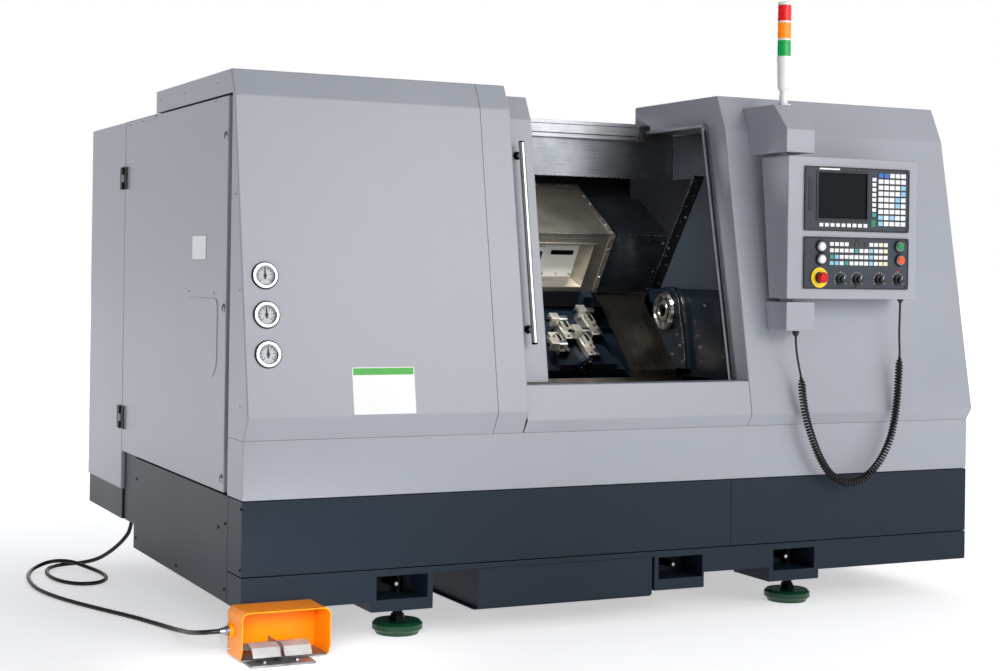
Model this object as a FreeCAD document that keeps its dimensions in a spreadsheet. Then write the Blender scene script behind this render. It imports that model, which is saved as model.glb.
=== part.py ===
"""Opposed-spindle CNC turning lathe with a slanted bed, full covers, a sliding front door,
a swivelling control box and a two-pedal foot switch.

Millimetres.  While the pieces are drawn, X runs from the left end to the right end, Y from the
plinth's front face to the back, and Z from the floor up.  Every piece then moves by the same
offset, so that the origin lies on the floor under the middle of the machine.
"""
import FreeCAD, Part
import math
import os

import Sketcher
from FreeCAD import Placement, Rotation, Vector

doc = FreeCAD.newDocument("turning_lathe")

# ---------------------------------------------------------------- driving sizes

SIZES = {
    # place of the origin, from the left end and from the plinth's front
    "origin_x": 1492.5, "origin_y": 1041,
    # whole machine
    "machine_length": 3000, "machine_depth": 2216, "sheet": 3, "seam": 2, "fit_gap": 0.3,
    "running_gap": 0.06,
    # cast base and its covers
    "base_bottom": 136, "base_seam": 246, "base_top": 497, "plinth_top": 693,
    "corner_depth": 153, "side_depth": 1408, "rear_start": 1621, "cover_depth": 25,
    "front_cover_split": 1887, "base_wall": 30, "beam_depth": 240, "deck": 20,
    "housing_drop": 34, "housing_width": 228, "pocket_width": 187, "pocket_low": 143,
    "pocket_high": 222, "pocket_depth": 150, "housing_left": 568, "housing_middle": 1672,
    "housing_right": 2174, "rear_skirt_bottom": 222, "rear_body_bottom": 344,
    # levelling feet
    "foot_left": 605, "foot_right": 2235, "foot_front": 130, "foot_back": 1290,
    "pad_radius": 88, "pad_height": 45, "screw_radius": 18,
    # coolant tank
    "tank_left": 852, "tank_right": 1550, "tank_low": 90,
    "tank_length": 1050, "tank_wall": 4,
    # left hood
    "left_lip_y": -43, "left_lip_z": 769, "left_brow_y": 146, "left_brow_z": 1835,
    "left_top_y": 194, "left_top_z": 1925, "left_back": 1153, "left_seam": 900,
    "left_end": 1018, "hood_drop": 83, "end_strip": 167, "edge_lip": 22,
    # right hood
    "right_lip_y": -30, "right_lip_z": 736, "right_brow_y": 177, "right_brow_z": 1809,
    "right_top_y": 243, "right_top_z": 1945, "right_back": 866, "right_start": 1954,
    "right_strip": 232,
    "sill_top": 860, "roof_z": 1840,
    # frame of the work opening
    "seal_low_y": 80, "seal_low_z": 840, "seal_high_y": 298, "seal_high_z": 1814,
    "seal_roof_z": 1838, "seal_width": 24, "seal_thick": 12, "rail_front": 765,
    "rail_depth": 35, "rail_bottom": 1799, "rail_top": 1867, "rail_start": 150,
    # sliding door
    "door_start": 185, "door_width": 955, "door_foot_y": 49, "door_foot_z": 866,
    "door_brow_y": 217, "door_brow_z": 1810, "door_top_y": 262, "door_top_z": 1895,
    "door_back": 795, "door_fold": 22, "window_margin": 190, "window_low": 1120,
    "window_high": 1620, "glass": 6, "handle_inset": 68, "handle_low": 1006,
    "handle_high": 1719, "handle_radius": 11, "handle_reach": 45,
    # service door on the left end
    "side_door_front": 213, "side_door_low": 500, "side_door_high": 1836,
    "hinge_low": 637, "hinge_high": 1610, "hinge_height": 90, "hinge_leaf": 60,
    "knuckle_radius": 7, "hinge_pin": 4, "hinge_out": 8,
    # control arm and control box
    "arm_left": 2060, "arm_width": 127, "arm_front": -76, "arm_low": 1716,
    "arm_step": 1803, "arm_crest_y": 13, "arm_crest_z": 1900, "low_arm_front": -90,
    "low_arm_bottom": 1050, "low_arm_top": 1158, "box_width": 600, "box_front": -90,
    "box_bottom": 1170, "box_top": 1703, "box_back_low": 27, "box_back_high": 88,
    "pivot_x": 2100, "pivot_y": -5, "pivot_radius": 16, "pivot_depth": 30,
    "panel_left": 2130, "panel_right": 2618, "cnc_low": 1426, "cnc_high": 1667,
    "panel_low": 1208, "panel_high": 1403, "panel_thick": 5, "panel_lap": 10,
    "screen_left": 2189, "screen_right": 2420, "screen_low": 1470, "screen_high": 1648,
    "key_wide": 17, "key_high": 13, "key_out": 2.5,
    "button_radius": 15, "button_bore": 11.4, "button_out": 9, "button_throw": 4,
    "knob_radius": 17, "knob_out": 26, "stop_radius": 20, "collar_radius": 38,
    # signal lamp
    "lamp_x": 2124, "lamp_y": 44, "lamp_radius": 27, "lens_height": 60, "lens_low": 2087,
    "lens_pitch": 67, "lamp_cap": 12,
    # gauges in the left hood
    "gauge_x": 78, "gauge_low": 975, "gauge_pitch": 128.5, "gauge_radius": 43,
    "gauge_case": 38, "dial_radius": 31,
    # slanted bed; heights above the bed are measured square to it
    "slant_angle": 34, "bed_y": 600, "bed_z": 756, "bed_span": 630, "bed_start": 200,
    "bed_finish": 2900, "bed_bottom": 246, "bed_wall": 45, "way_low": 110,
    "way_high": 440, "way_width": 70, "way_height": 25,
    # spindles
    "spindle_y": 680, "spindle_z": 1104, "head_start": 250, "head_end": 960,
    "spindle_radius": 60, "spindle_bore": 31, "chuck_radius": 100, "chuck_length": 100,
    "jaw_width": 32, "jaw_height": 42, "jaw_out": 34, "jaw_inner": 34,
    "right_head": 2012, "right_head_end": 2620, "right_radius": 45, "nose_radius": 79,
    "nose_thick": 21, "cheek_radius": 98, "shield": 2040, "shield_top": 1190,
    # carriage, cross slide and tools
    "carriage_left": 1430, "carriage_right": 1780, "carriage_low": 75,
    "carriage_high": 500, "carriage_top": 84, "slide_left": 1480, "slide_right": 1730,
    "slide_start": 72, "slide_finish": 430, "slide_top": 115, "tool_top": 141,
    # covers inside the work area
    "ridge_y": 740, "ridge_z": 1410, "cover_low_y": 890, "cover_low_z": 1175,
    "cover_back_y": 990, "cover_back_z": 1572, "guard_back_y": 1067, "guard_back_z": 1622,
    "guard_left": 1330, "guard_right": 1795, "guard_gap": 6, "way_cover_right": 2049.5,
    "liner_x": 2100, "frame_top_y": 551, "frame_top_z": 1649, "frame_low_y": 902,
    "frame_low_z": 1169, "fascia_low": 1645, "bed_cover_left": 1800, "trough_y": 600,
    "trough_z": 868, "strip_low": 838, "trough_floor": 745, "trough_front": 66,
    # foot switch
    "guard_x": -46, "guard_width": 299, "guard_front": -160, "guard_back": -8,
    "guard_high": 166, "guard_wall": 4, "guard_low": 12, "guard_round": 25,
    "guard_cut": 34, "gland_y": -50, "gland_z": 92, "pedal_front": -212,
    "pedal_back": -50, "pedal_centre": 78, "pedal_plate": 8, "pedal_width": 92,
    "pedal_gap": 16, "pedal_hinge_z": 34, "pedal_pin": 4,
    # cords
    "foot_cord": 16, "curl": 32, "curl_tail": 9,
}

sheet = doc.addObject("Spreadsheet::Sheet", "Sizes")
for row, (word, value) in enumerate(SIZES.items(), start=1):
    sheet.set(f"A{row}", word)
    sheet.set(f"B{row}", str(value))
    sheet.setAlias(f"B{row}", word)
doc.recompute()


class Size:
    """A number and the spreadsheet expression that gives it."""

    def __init__(self, value, text):
        self.value = value
        self.text = text

    def __add__(self, other):
        other = as_size(other)
        return Size(self.value + other.value, f"({self.text} + {other.text})")

    def __sub__(self, other):
        other = as_size(other)
        return Size(self.value - other.value, f"({self.text} - {other.text})")

    def __mul__(self, other):
        other = as_size(other)
        return Size(self.value * other.value, f"({self.text} * {other.text})")

    def __truediv__(self, other):
        other = as_size(other)
        return Size(self.value / other.value, f"({self.text} / {other.text})")

    def __rsub__(self, other):
        return as_size(other) - self

    def __neg__(self):
        return as_size(0) - self

    __radd__ = __add__
    __rmul__ = __mul__


def as_size(value):
    if isinstance(value, Size):
        return value
    return Size(float(value), f"({float(value)})")


class Sheet:
    """Each alias of the spreadsheet, read as a Size."""

    def __getattr__(self, word):
        return Size(float(SIZES[word]), f"Sizes.{word}")


size = Sheet()


def cosine(angle):
    return Size(math.cos(math.radians(angle.value)), f"cos({angle.text})")


def sine(angle):
    return Size(math.sin(math.radians(angle.value)), f"sin({angle.text})")


def diagonal(run, rise):
    return Size(math.hypot(run.value, rise.value), f"sqrt({run.text}^2 + {rise.text}^2)")


# ---------------------------------------------------------------- ways to make a piece

pieces = []


def bind(item, prop, value):
    item.setExpression(prop, as_size(value).text)


def put(item, x, y, z):
    for axis, value in zip("xyz", (x, y, z)):
        bind(item, f"Placement.Base.{axis}", value)


def piece(label, item, x=0, y=0, z=0):
    """Name a finished sub-part and move it from drawing axes to the machine's origin."""
    item.Label = label
    put(item, as_size(x) - size.origin_x, as_size(y) - size.origin_y, as_size(z))
    pieces.append(item)
    return item


def origin_plane(body, plane):
    for item in body.Origin.OriginFeatures:
        if item.Role == f"{plane}_Plane":
            return item


def draw_polygon(sketch, corners):
    first = sketch.GeometryCount
    count = len(corners)
    points = [(as_size(across), as_size(up)) for across, up in corners]
    for index in range(count):
        here = points[index]
        there = points[(index + 1) % count]
        start = Vector(here[0].value, here[1].value, 0)
        end = Vector(there[0].value, there[1].value, 0)
        sketch.addGeometry(Part.LineSegment(start, end), False)
    joins = []
    for index in range(count):
        following = first + (index + 1) % count
        joins.append(Sketcher.Constraint("Coincident", first + index, 2, following, 1))
    sketch.addConstraint(joins)
    for index, point in enumerate(points):
        for kind, value in zip(("DistanceX", "DistanceY"), point):
            rule = Sketcher.Constraint(kind, -1, 1, first + index, 1, value.value)
            number = sketch.addConstraint(rule)
            sketch.setExpression(f"Constraints[{number}]", value.text)


def draw_circle(sketch, across, up, radius):
    across, up, radius = as_size(across), as_size(up), as_size(radius)
    centre = Vector(across.value, up.value, 0)
    first = sketch.addGeometry(Part.Circle(centre, Vector(0, 0, 1), radius.value), False)
    rules = (
        (Sketcher.Constraint("DistanceX", -1, 1, first, 3, across.value), across),
        (Sketcher.Constraint("DistanceY", -1, 1, first, 3, up.value), up),
        (Sketcher.Constraint("Radius", first, radius.value), radius),
    )
    for rule, value in rules:
        number = sketch.addConstraint(rule)
        sketch.setExpression(f"Constraints[{number}]", value.text)


def draw(body, plane, outlines, offset):
    """A sketch in an origin plane of its own body, moved along that plane's normal."""
    sketch = body.newObject("Sketcher::SketchObject", "Outline")
    sketch.AttachmentSupport = [(origin_plane(body, plane), "")]
    sketch.MapMode = "FlatFace"
    bind(sketch, "AttachmentOffset.Base.z", offset)
    for outline in outlines:
        if isinstance(outline, list):
            draw_polygon(sketch, outline)
        else:
            draw_circle(sketch, *outline)
    return sketch


def pad(body, plane, outlines, low, high):
    """Material between two distances along X (YZ outline), Y (XZ) or Z (XY)."""
    low, high = as_size(low), as_size(high)
    offset = -high if plane == "XZ" else low
    feature = body.newObject("PartDesign::Pad", "Pad")
    feature.Profile = draw(body, plane, outlines, offset)
    bind(feature, "Length", high - low)
    return body


def pocket(body, plane, outlines, low, high):
    """A cut between two distances along X, Y or Z."""
    low, high = as_size(low), as_size(high)
    offset = -low if plane == "XZ" else high
    feature = body.newObject("PartDesign::Pocket", "Pocket")
    feature.Profile = draw(body, plane, outlines, offset)
    bind(feature, "Length", high - low)
    return body


def prism(plane, outlines, low, high):
    return pad(doc.addObject("PartDesign::Body", "Body"), plane, outlines, low, high)


def turned(corners):
    """A body of revolution about its own Z axis; corners are (radius, height)."""
    body = doc.addObject("PartDesign::Body", "Body")
    feature = body.newObject("PartDesign::Revolution", "Revolution")
    feature.Profile = draw(body, "XZ", [corners], 0)
    feature.ReferenceAxis = (feature.Profile[0], ["V_Axis"])
    feature.Angle = 360
    return body


def rect(left, low, right, high):
    return [(left, low), (right, low), (right, high), (left, high)]


def block(x_range, y_range, z_range):
    item = doc.addObject("Part::Box", "Block")
    ranges = (x_range, y_range, z_range)
    for side, axis, (low, high) in zip(("Length", "Width", "Height"), "xyz", ranges):
        bind(item, side, as_size(high) - as_size(low))
        bind(item, f"Placement.Base.{axis}", low)
    return item


ALONG = {
    "X": Rotation(Vector(0, 1, 0), 90),
    "Y": Rotation(Vector(1, 0, 0), -90),
    "Z": Rotation(),
}


def rod(axis, centre, radius, low, high):
    """A round bar along X, Y or Z; centre holds its other two coordinates in order."""
    item = doc.addObject("Part::Cylinder", "Rod")
    item.Placement = Placement(Vector(), ALONG[axis])
    place = dict(zip([name for name in "XYZ" if name != axis], centre))
    place[axis] = low
    bind(item, "Radius", radius)
    bind(item, "Height", as_size(high) - as_size(low))
    put(item, place["X"], place["Y"], place["Z"])
    return item


def fuse(items):
    item = doc.addObject("Part::MultiFuse", "Union")
    item.Shapes = items
    item.Refine = True
    return item


def cut(base, tool):
    item = doc.addObject("Part::Cut", "Cut")
    item.Base = base
    item.Tool = tool
    return item


def group(items):
    """Several separate solids that share one node."""
    item = doc.addObject("Part::Compound", "Group")
    item.Links = items
    return item


def shape(solid):
    item = doc.addObject("Part::Feature", "Shape")
    item.Shape = solid
    return item


def on_slope(y_low, z_low, y_high, z_high, level):
    """The Y of a sloped panel at a height."""
    return y_low + (level - z_low) * (y_high - y_low) / (z_high - z_low)


def left_face(level):
    return on_slope(size.left_lip_y, size.left_lip_z, size.left_brow_y, size.left_brow_z,
                    as_size(level))


def right_face(level):
    return on_slope(size.right_lip_y, size.right_lip_z, size.right_brow_y,
                    size.right_brow_z, as_size(level))


def slant(along, above):
    """(Y, Z) of a point given along the slanted bed, upwards, and square above it."""
    along, above = as_size(along), as_size(above)
    across, rise = cosine(size.slant_angle), sine(size.slant_angle)
    return (size.bed_y + along * across - above * rise,
            size.bed_z + along * rise + above * across)


def slant_rect(low, bottom, high, top):
    return [slant(low, bottom), slant(high, bottom), slant(high, top), slant(low, top)]


length = size.machine_length
thin = size.sheet

# ---------------------------------------------------------------- cast base


def base_frame():
    """One casting: a deck, a front beam with three open pad housings, a rear beam and ends."""
    drop = size.base_bottom - size.housing_drop
    deck_low = size.base_seam - size.deck
    half = size.housing_width / 2
    profile = [(0, size.base_bottom)]
    for centre in (size.housing_left, size.housing_middle, size.housing_right):
        if centre.value == SIZES["housing_middle"]:
            left = size.tank_right + 10
            right = centre + size.pocket_width / 2 + 8
        else:
            left = centre - half
            right = centre + half
        if centre.value == SIZES["housing_left"]:
            profile += [(left, size.base_bottom), (left, drop), (right, drop),
                        (right, deck_low)]
        elif centre.value == SIZES["housing_middle"]:
            profile += [(left, deck_low), (left, drop), (right, drop),
                        (right, size.pocket_low + 14)]
        else:
            profile += [(left, size.pocket_low + 14), (left, drop), (right, drop),
                        (right, size.base_bottom)]
    profile += [(length, size.base_bottom), (length, size.base_seam), (0, size.base_seam)]
    body = prism("XZ", [profile], 0, size.corner_depth)
    inner = size.cover_depth
    pad(body, "XZ", [[(across if 0 < as_size(across).value < length.value else
                       (inner if as_size(across).value == 0 else length - inner), up)
                      for across, up in profile]],
        size.corner_depth, size.beam_depth)
    pad(body, "XY", [rect(inner, size.beam_depth, length - inner, size.side_depth - thin)],
        size.base_seam - size.deck, size.base_seam)
    pad(body, "XY", [rect(inner, size.side_depth - size.beam_depth, length - inner,
                          size.side_depth - thin)],
        size.base_bottom, size.base_seam - size.deck)
    for start in (inner, length - inner - size.base_wall):
        pad(body, "XY", [rect(start, size.beam_depth, start + size.base_wall,
                              size.side_depth - size.beam_depth)],
            size.base_bottom, size.base_seam - size.deck)
    for centre in (size.housing_left, size.housing_middle, size.housing_right):
        half = size.pocket_width / 2
        pocket(body, "XZ", [rect(centre - half, size.pocket_low, centre + half,
                                 size.pocket_high)], 0, size.pocket_depth)
    posts = [rect(x, inner, x + 60, inner + 40) for x in (300, 1080, 1857, 2640)]
    pad(body, "XY", posts, size.base_seam, size.base_top)
    pad(body, "XY", [rect(60, inner, length - 60, inner + 12)], size.base_seam,
        size.base_seam + 40)
    holes = [(x, y, size.screw_radius + size.running_gap)
             for x in (size.foot_left, size.foot_right)
             for y in (size.foot_front, size.foot_back)]
    pocket(body, "XY", holes, 0, size.base_seam)
    return piece("base_frame", body)


def folded_panel(low, high, start, end):
    """A front cover: a sheet with its top and bottom edges folded back."""
    deep = size.cover_depth
    outline = [(0, low), (deep, low), (deep, low + thin), (thin, low + thin),
               (thin, high - thin), (deep, high - thin), (deep, high), (0, high)]
    return prism("YZ", [outline], start, end)


def base_covers():
    low = size.base_seam + size.seam
    high = size.base_top - size.seam
    split = size.front_cover_split
    covers = [folded_panel(low, high, 0, split - size.seam / 2),
              folded_panel(low, high, split + size.seam / 2, length)]
    for cover, start in zip(covers, (as_size(0), length - thin)):
        pad(cover, "YZ", [rect(0, low, size.corner_depth, high)], start, start + thin)
    sides = covers
    deep = size.cover_depth
    for start, inner in ((as_size(0), deep), (length - deep, deep)):
        panel = prism("XY", [rect(start, size.corner_depth + size.seam,
                                  start + inner, size.side_depth)],
                      size.base_bottom, size.base_top - size.seam)
        hollow = start + thin if start.value == 0 else start
        pocket(panel, "XY", [rect(hollow, size.corner_depth + size.seam + thin,
                                  hollow + inner - thin, size.side_depth - thin)],
               size.base_bottom + thin, size.base_top - size.seam - thin)
        sides.append(panel)
        back = start + 14 if start.value == 0 else start + 3
        sides.append(block((back, back + 8), (size.side_depth + 0.5, size.rear_start),
                           (size.rear_skirt_bottom, size.base_top - size.seam)))
    skirt = prism("XY", [rect(6, size.rear_start + 2, length - 6, size.machine_depth - 4),
                         rect(9, size.rear_start + 5, length - 9, size.machine_depth - 7)],
                  size.rear_skirt_bottom, size.rear_body_bottom)
    sides.append(skirt)
    piece("base_covers", group(sides))


def levelling_feet():
    pads = []
    screws = []
    for x in (size.foot_left, size.foot_right):
        for y in (size.foot_front, size.foot_back):
            shoe = turned([(0, 0), (size.pad_radius - 14, 0), (size.pad_radius - 8, 12),
                           (size.pad_radius, 18), (size.pad_radius, size.pad_height - 9),
                           (size.pad_radius - 9, size.pad_height), (0, size.pad_height)])
            put(shoe, x, y, 0)
            pads.append(shoe)
            screws.append(rod("Z", (x, y), size.screw_radius, size.pad_height,
                              size.base_seam - 40))
    piece("levelling_pads", group(pads))
    piece("levelling_screws", group(screws))


def coolant_tank():
    """An open tank held by its rim against the underside of the casting."""
    wall = size.tank_wall
    top = size.base_seam - size.deck
    body = prism("XY", [rect(size.tank_left, 0, size.tank_right, size.tank_length)],
                 size.tank_low, top)
    pocket(body, "XY", [rect(size.tank_left + wall, wall, size.tank_right - wall,
                             size.tank_length - wall)],
           size.tank_low + wall, top)
    pad(body, "XY", [rect(size.tank_left - 18, -2, size.tank_right - 6,
                          size.tank_length)],
        size.tank_low - 4, size.tank_low)
    return piece("coolant_tank", body)


# ---------------------------------------------------------------- outer covers


def plinth_band():
    low, high, deep = size.base_top, size.plinth_top, size.cover_depth
    outline = [(0, low), (deep + 40, low), (deep + 40, low + thin), (thin, low + thin),
               (thin, high - thin), (deep + 40, high - thin), (deep + 40, high), (0, high)]
    body = prism("YZ", [outline], 0, length)
    for start, strip in ((as_size(0), size.end_strip), (length - thin, size.right_strip)):
        pad(body, "YZ", [rect(0, low, strip, high)], start, start + thin)
    return body


def left_path(inset):
    """The left hood's section, as far inside its outer skin as inset."""
    inset = as_size(inset)
    return [(inset, size.plinth_top + inset / 2),
            (size.left_lip_y + inset, size.left_lip_z),
            (size.left_brow_y + inset, size.left_brow_z - inset * 0.3),
            (size.left_top_y + inset / 2, size.left_top_z - inset)]


def right_path(inset):
    inset = as_size(inset)
    return [(inset, size.plinth_top + inset / 2),
            (size.right_lip_y + inset, size.right_lip_z),
            (size.right_brow_y + inset, size.right_brow_z - inset * 0.3),
            (size.right_top_y + inset / 2, size.right_top_z - inset)]


def skin(path, back, drop, start, end):
    """A folded sheet that follows a section path, its roof and a short fold at the back."""
    outer = path(0)
    top = outer[-1][1]
    outline = outer + [(back, top), (back, top - drop), (back - thin, top - drop),
                       (back - thin, top - thin)]
    outline += list(reversed(path(thin)))
    return prism("YZ", [outline], start, end)


def end_panel(path, back, drop, strip):
    """The part of a hood's end that closes it above and in front of the side panel."""
    outer = path(0)
    top = outer[-1][1]
    return outer + [(back, top), (back, top - drop), (strip, top - drop),
                    (strip, size.plinth_top)]


def gauge_place(level):
    return left_face(level)


def slope_rotation():
    """Turns a part's own Z axis square to the left hood's front, pointing outwards."""
    run = SIZES["left_brow_y"] - SIZES["left_lip_y"]
    rise = SIZES["left_brow_z"] - SIZES["left_lip_z"]
    outwards = Vector(0, -rise, run)
    upwards = Vector(0, run, rise)
    return Rotation(Vector(1, 0, 0), upwards, outwards, "ZXY")


def gauge_levels():
    return [size.gauge_low + size.gauge_pitch * index for index in range(3)]


def left_hood():
    sheet_part = skin(left_path, size.left_back, size.hood_drop, 0,
                      size.left_seam - size.seam / 2)
    pad(sheet_part, "YZ", [end_panel(left_path, size.left_back, size.hood_drop,
                                     size.end_strip)], 0, thin)
    run = size.left_brow_y - size.left_lip_y
    rise = size.left_brow_z - size.left_lip_z
    slope = diagonal(run, rise)
    holes = []
    for level in gauge_levels():
        hole = doc.addObject("Part::Cylinder", "Hole")
        hole.Placement = Placement(Vector(), slope_rotation())
        bind(hole, "Radius", size.gauge_case + size.fit_gap)
        hole.Height = 20
        put(hole, size.gauge_x, gauge_place(level) + 10 * rise / slope,
            level - 10 * run / slope)
        holes.append(hole)
    main = cut(sheet_part, group(holes))

    edge = skin(left_path, size.left_back, size.hood_drop, size.left_seam + size.seam / 2,
                size.left_end)
    lip = left_path(0) + [(size.left_back, size.left_top_z),
                          (size.left_back, size.left_top_z - size.edge_lip)]
    lip += list(reversed(left_path(size.edge_lip)))
    pad(edge, "YZ", [lip], size.left_end - thin, size.left_end)
    piece("left_hood", group([main, edge]))


def right_hood():
    body = skin(right_path, size.right_back, size.right_top_z - size.roof_z,
                size.right_start, length)
    drop = size.right_top_z - size.roof_z
    pad(body, "YZ", [end_panel(right_path, size.right_back, drop, size.right_strip)],
        length - thin, length)
    clear = size.trough_front - size.fit_gap
    cheek = right_path(0) + [
        (size.right_back, size.right_top_z), (size.right_back, size.seal_roof_z),
        (size.seal_high_y + 8, size.seal_roof_z), (size.seal_high_y, size.seal_high_z),
        (size.seal_low_y, size.seal_low_z), (clear, size.seal_low_z),
        (clear, size.plinth_top)]
    pad(body, "YZ", [cheek], size.right_start, size.right_start + thin)
    return piece("right_hood", body)


def sill_panel():
    top = size.sill_top
    deep = 70
    outline = [(0, size.plinth_top), (size.right_lip_y, size.right_lip_z),
               (right_face(top), top), (deep, top), (deep, top - thin),
               (right_face(top - thin) + thin, top - thin),
               (size.right_lip_y + thin, size.right_lip_z), (thin, size.plinth_top + 2)]
    return prism("YZ", [outline], size.left_end + size.seam, size.right_start - size.seam)


def opening_frame():
    """The aluminium rail over the opening and the seal strip that the door closes on."""
    front = size.rail_front
    back = front + size.rail_depth
    low, high = size.rail_bottom, size.rail_top
    outer = [(front + 6, low), (back, low), (back, high), (front, high),
             (front, low + 18), (front + 6, low + 18)]
    inner = rect(front + 11, low + 5, back - 5, high - 5)
    rail = prism("YZ", [outer, inner], size.rail_start, size.right_start)
    deep = size.seal_thick
    strip = [(size.seal_low_y, size.seal_low_z), (size.seal_high_y, size.seal_high_z),
             (size.seal_high_y + 8, size.seal_roof_z), (front - 2, size.seal_roof_z),
             (front - 2, size.seal_roof_z - deep), (size.seal_high_y + 14, size.seal_roof_z - deep),
             (size.seal_high_y + deep, size.seal_high_z),
             (size.seal_low_y + deep, size.seal_low_z)]
    seal = prism("YZ", [strip], size.right_start - size.seal_width, size.right_start)
    return piece("opening_frame", group([rail, seal]))


def rear_enclosure():
    cabinet = prism("XY", [rect(0, size.rear_start + 2, length, size.machine_depth)],
                    size.rear_body_bottom, size.roof_z)
    pocket(cabinet, "XY", [rect(thin, size.rear_start + 2 + thin, length - thin,
                                size.machine_depth - thin)],
           size.rear_body_bottom + thin, size.roof_z - thin)
    roof = prism("XY", [[(thin, size.left_back + 3), (size.left_end, size.left_back + 3),
                         (size.left_end, size.rail_front + size.rail_depth + 0.5),
                         (size.right_start - 4, size.rail_front + size.rail_depth + 0.5),
                         (size.right_start - 4, size.right_back + 3),
                         (length - thin, size.right_back + 3),
                         (length - thin, size.rear_start + 2),
                         (thin, size.rear_start + 2)]],
                 size.roof_z - thin, size.roof_z)
    deep = size.cover_depth
    side = prism("XY", [rect(length - deep, size.right_strip + 4, length,
                             size.rear_start + 2)],
                 size.base_top + 3, size.roof_z - thin)
    pocket(side, "XY", [rect(length - deep, size.right_strip + 4 + thin, length - thin,
                             size.rear_start + 2 - thin)],
           size.base_top + 3 + thin, size.roof_z - thin - thin)
    return piece("rear_enclosure", group([cabinet, roof, side]))


# ---------------------------------------------------------------- doors


def door_path(inset):
    inset = as_size(inset)
    return [(size.door_foot_y + inset, size.door_foot_z),
            (size.door_brow_y + inset * 1.02, size.door_brow_z - inset * 0.3),
            (size.door_top_y + inset * 0.7, size.door_top_z - inset),
            (size.door_back, size.door_top_z - inset)]


def sliding_door():
    start = size.door_start
    end = start + size.door_width
    outline = door_path(0) + list(reversed(door_path(thin)))
    body = prism("YZ", [outline], start, end)
    fold = door_path(0) + list(reversed(door_path(size.door_fold)))
    for low in (start, end - thin):
        pad(body, "YZ", [fold], low, low + thin)
    foot = [(size.door_foot_y, size.door_foot_z), (size.door_foot_y + size.door_fold, size.door_foot_z),
            (size.door_foot_y + size.door_fold, size.door_foot_z + thin),
            (size.door_foot_y, size.door_foot_z + thin)]
    pad(body, "YZ", [foot], start, end)
    for low in (start + 120, end - 180):
        pad(body, "YZ", [rect(size.door_foot_y + 4, size.sill_top + size.fit_gap,
                              size.door_foot_y + 18, size.door_foot_z + 1)],
            low, low + 60)
        pad(body, "YZ", [rect(size.rail_front + 4, size.rail_top + size.fit_gap,
                              size.door_back - 2, size.door_top_z - thin / 2)],
            low, low + 60)
    margin = size.window_margin
    pocket(body, "XZ", [rect(start + margin, size.window_low, end - margin,
                             size.window_high)], 0, size.door_top_y + 20)
    piece("sliding_door", body)

    low, high = size.window_low - 18, size.window_high + 18

    def face(level, inset):
        return on_slope(size.door_foot_y, size.door_foot_z, size.door_brow_y,
                        size.door_brow_z, level) + inset

    near = thin * 1.04 + 0.1
    far = near + size.glass
    pane = [(face(low, near), low), (face(low, far), low), (face(high, far), high),
            (face(high, near), high)]
    piece("door_window", prism("YZ", [pane], start + margin - 18, end - margin + 18))

    handle_x = end - size.handle_inset
    rise = size.handle_high - size.handle_low
    lean = face(size.handle_high, 0) - face(size.handle_low, 0)
    bar = doc.addObject("Part::Cylinder", "Bar")
    tilt = math.degrees(math.atan2(lean.value, rise.value))
    bar.Placement = Placement(Vector(), Rotation(Vector(1, 0, 0), -tilt))
    bind(bar, "Radius", size.handle_radius)
    bind(bar, "Height", rise / as_size(math.cos(math.radians(tilt))))
    put(bar, handle_x, face(size.handle_low, 0) - size.handle_reach, size.handle_low)
    posts = []
    for level in (size.handle_low + 45, size.handle_high - 45):
        posts.append(rod("Y", (handle_x, level), 7, face(level, 0) - size.handle_reach,
                         face(level - 7, 0)))
    piece("door_handle", fuse([bar] + posts))


def hinge_levels():
    return (size.hinge_low, size.hinge_high)


def side_door():
    deep = size.cover_depth
    back = size.rear_start - 3
    panel = prism("XY", [rect(0, size.side_door_front, deep, back)],
                  size.side_door_low, size.side_door_high)
    pocket(panel, "XY", [rect(thin, size.side_door_front + thin, deep, back - thin)],
           size.side_door_low + thin, size.side_door_high - thin)
    parts = [panel]
    pins = []
    out = -size.hinge_out
    for level in hinge_levels():
        half = size.hinge_height / 2
        third = size.hinge_height / 6
        parts.append(block((-4, 0), (back - size.hinge_leaf, back + 3),
                           (level - third + 0.5, level + third - 0.5)))
        parts.append(block((-4, 0), (back - size.hinge_leaf, back - 9),
                           (level - half, level + half)))
        knuckle = rod("Z", (out, size.rear_start), size.knuckle_radius,
                      level - third + 0.5, level + third - 0.5)
        bore = rod("Z", (out, size.rear_start), size.hinge_pin + size.running_gap,
                   level - half, level + half)
        parts.append(cut(knuckle, bore))
        leaf = block((-4, 0), (size.rear_start + 10, size.rear_start + size.hinge_leaf),
                     (level - half, level + half))
        pin = rod("Z", (out, size.rear_start), size.hinge_pin, level - half, level + half)
        ends = []
        for low, high in ((level - half, level - third), (level + third, level + half)):
            ends.append(rod("Z", (out, size.rear_start), size.knuckle_radius, low, high))
            ends.append(block((-4, 0), (size.rear_start + 2.5, size.rear_start + 12),
                              (low, high)))
        pins.append(fuse([leaf, pin] + ends))
    piece("side_door", fuse(parts))
    piece("side_door_hinges", group(pins))


# ---------------------------------------------------------------- control arm, box and lamp


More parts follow.
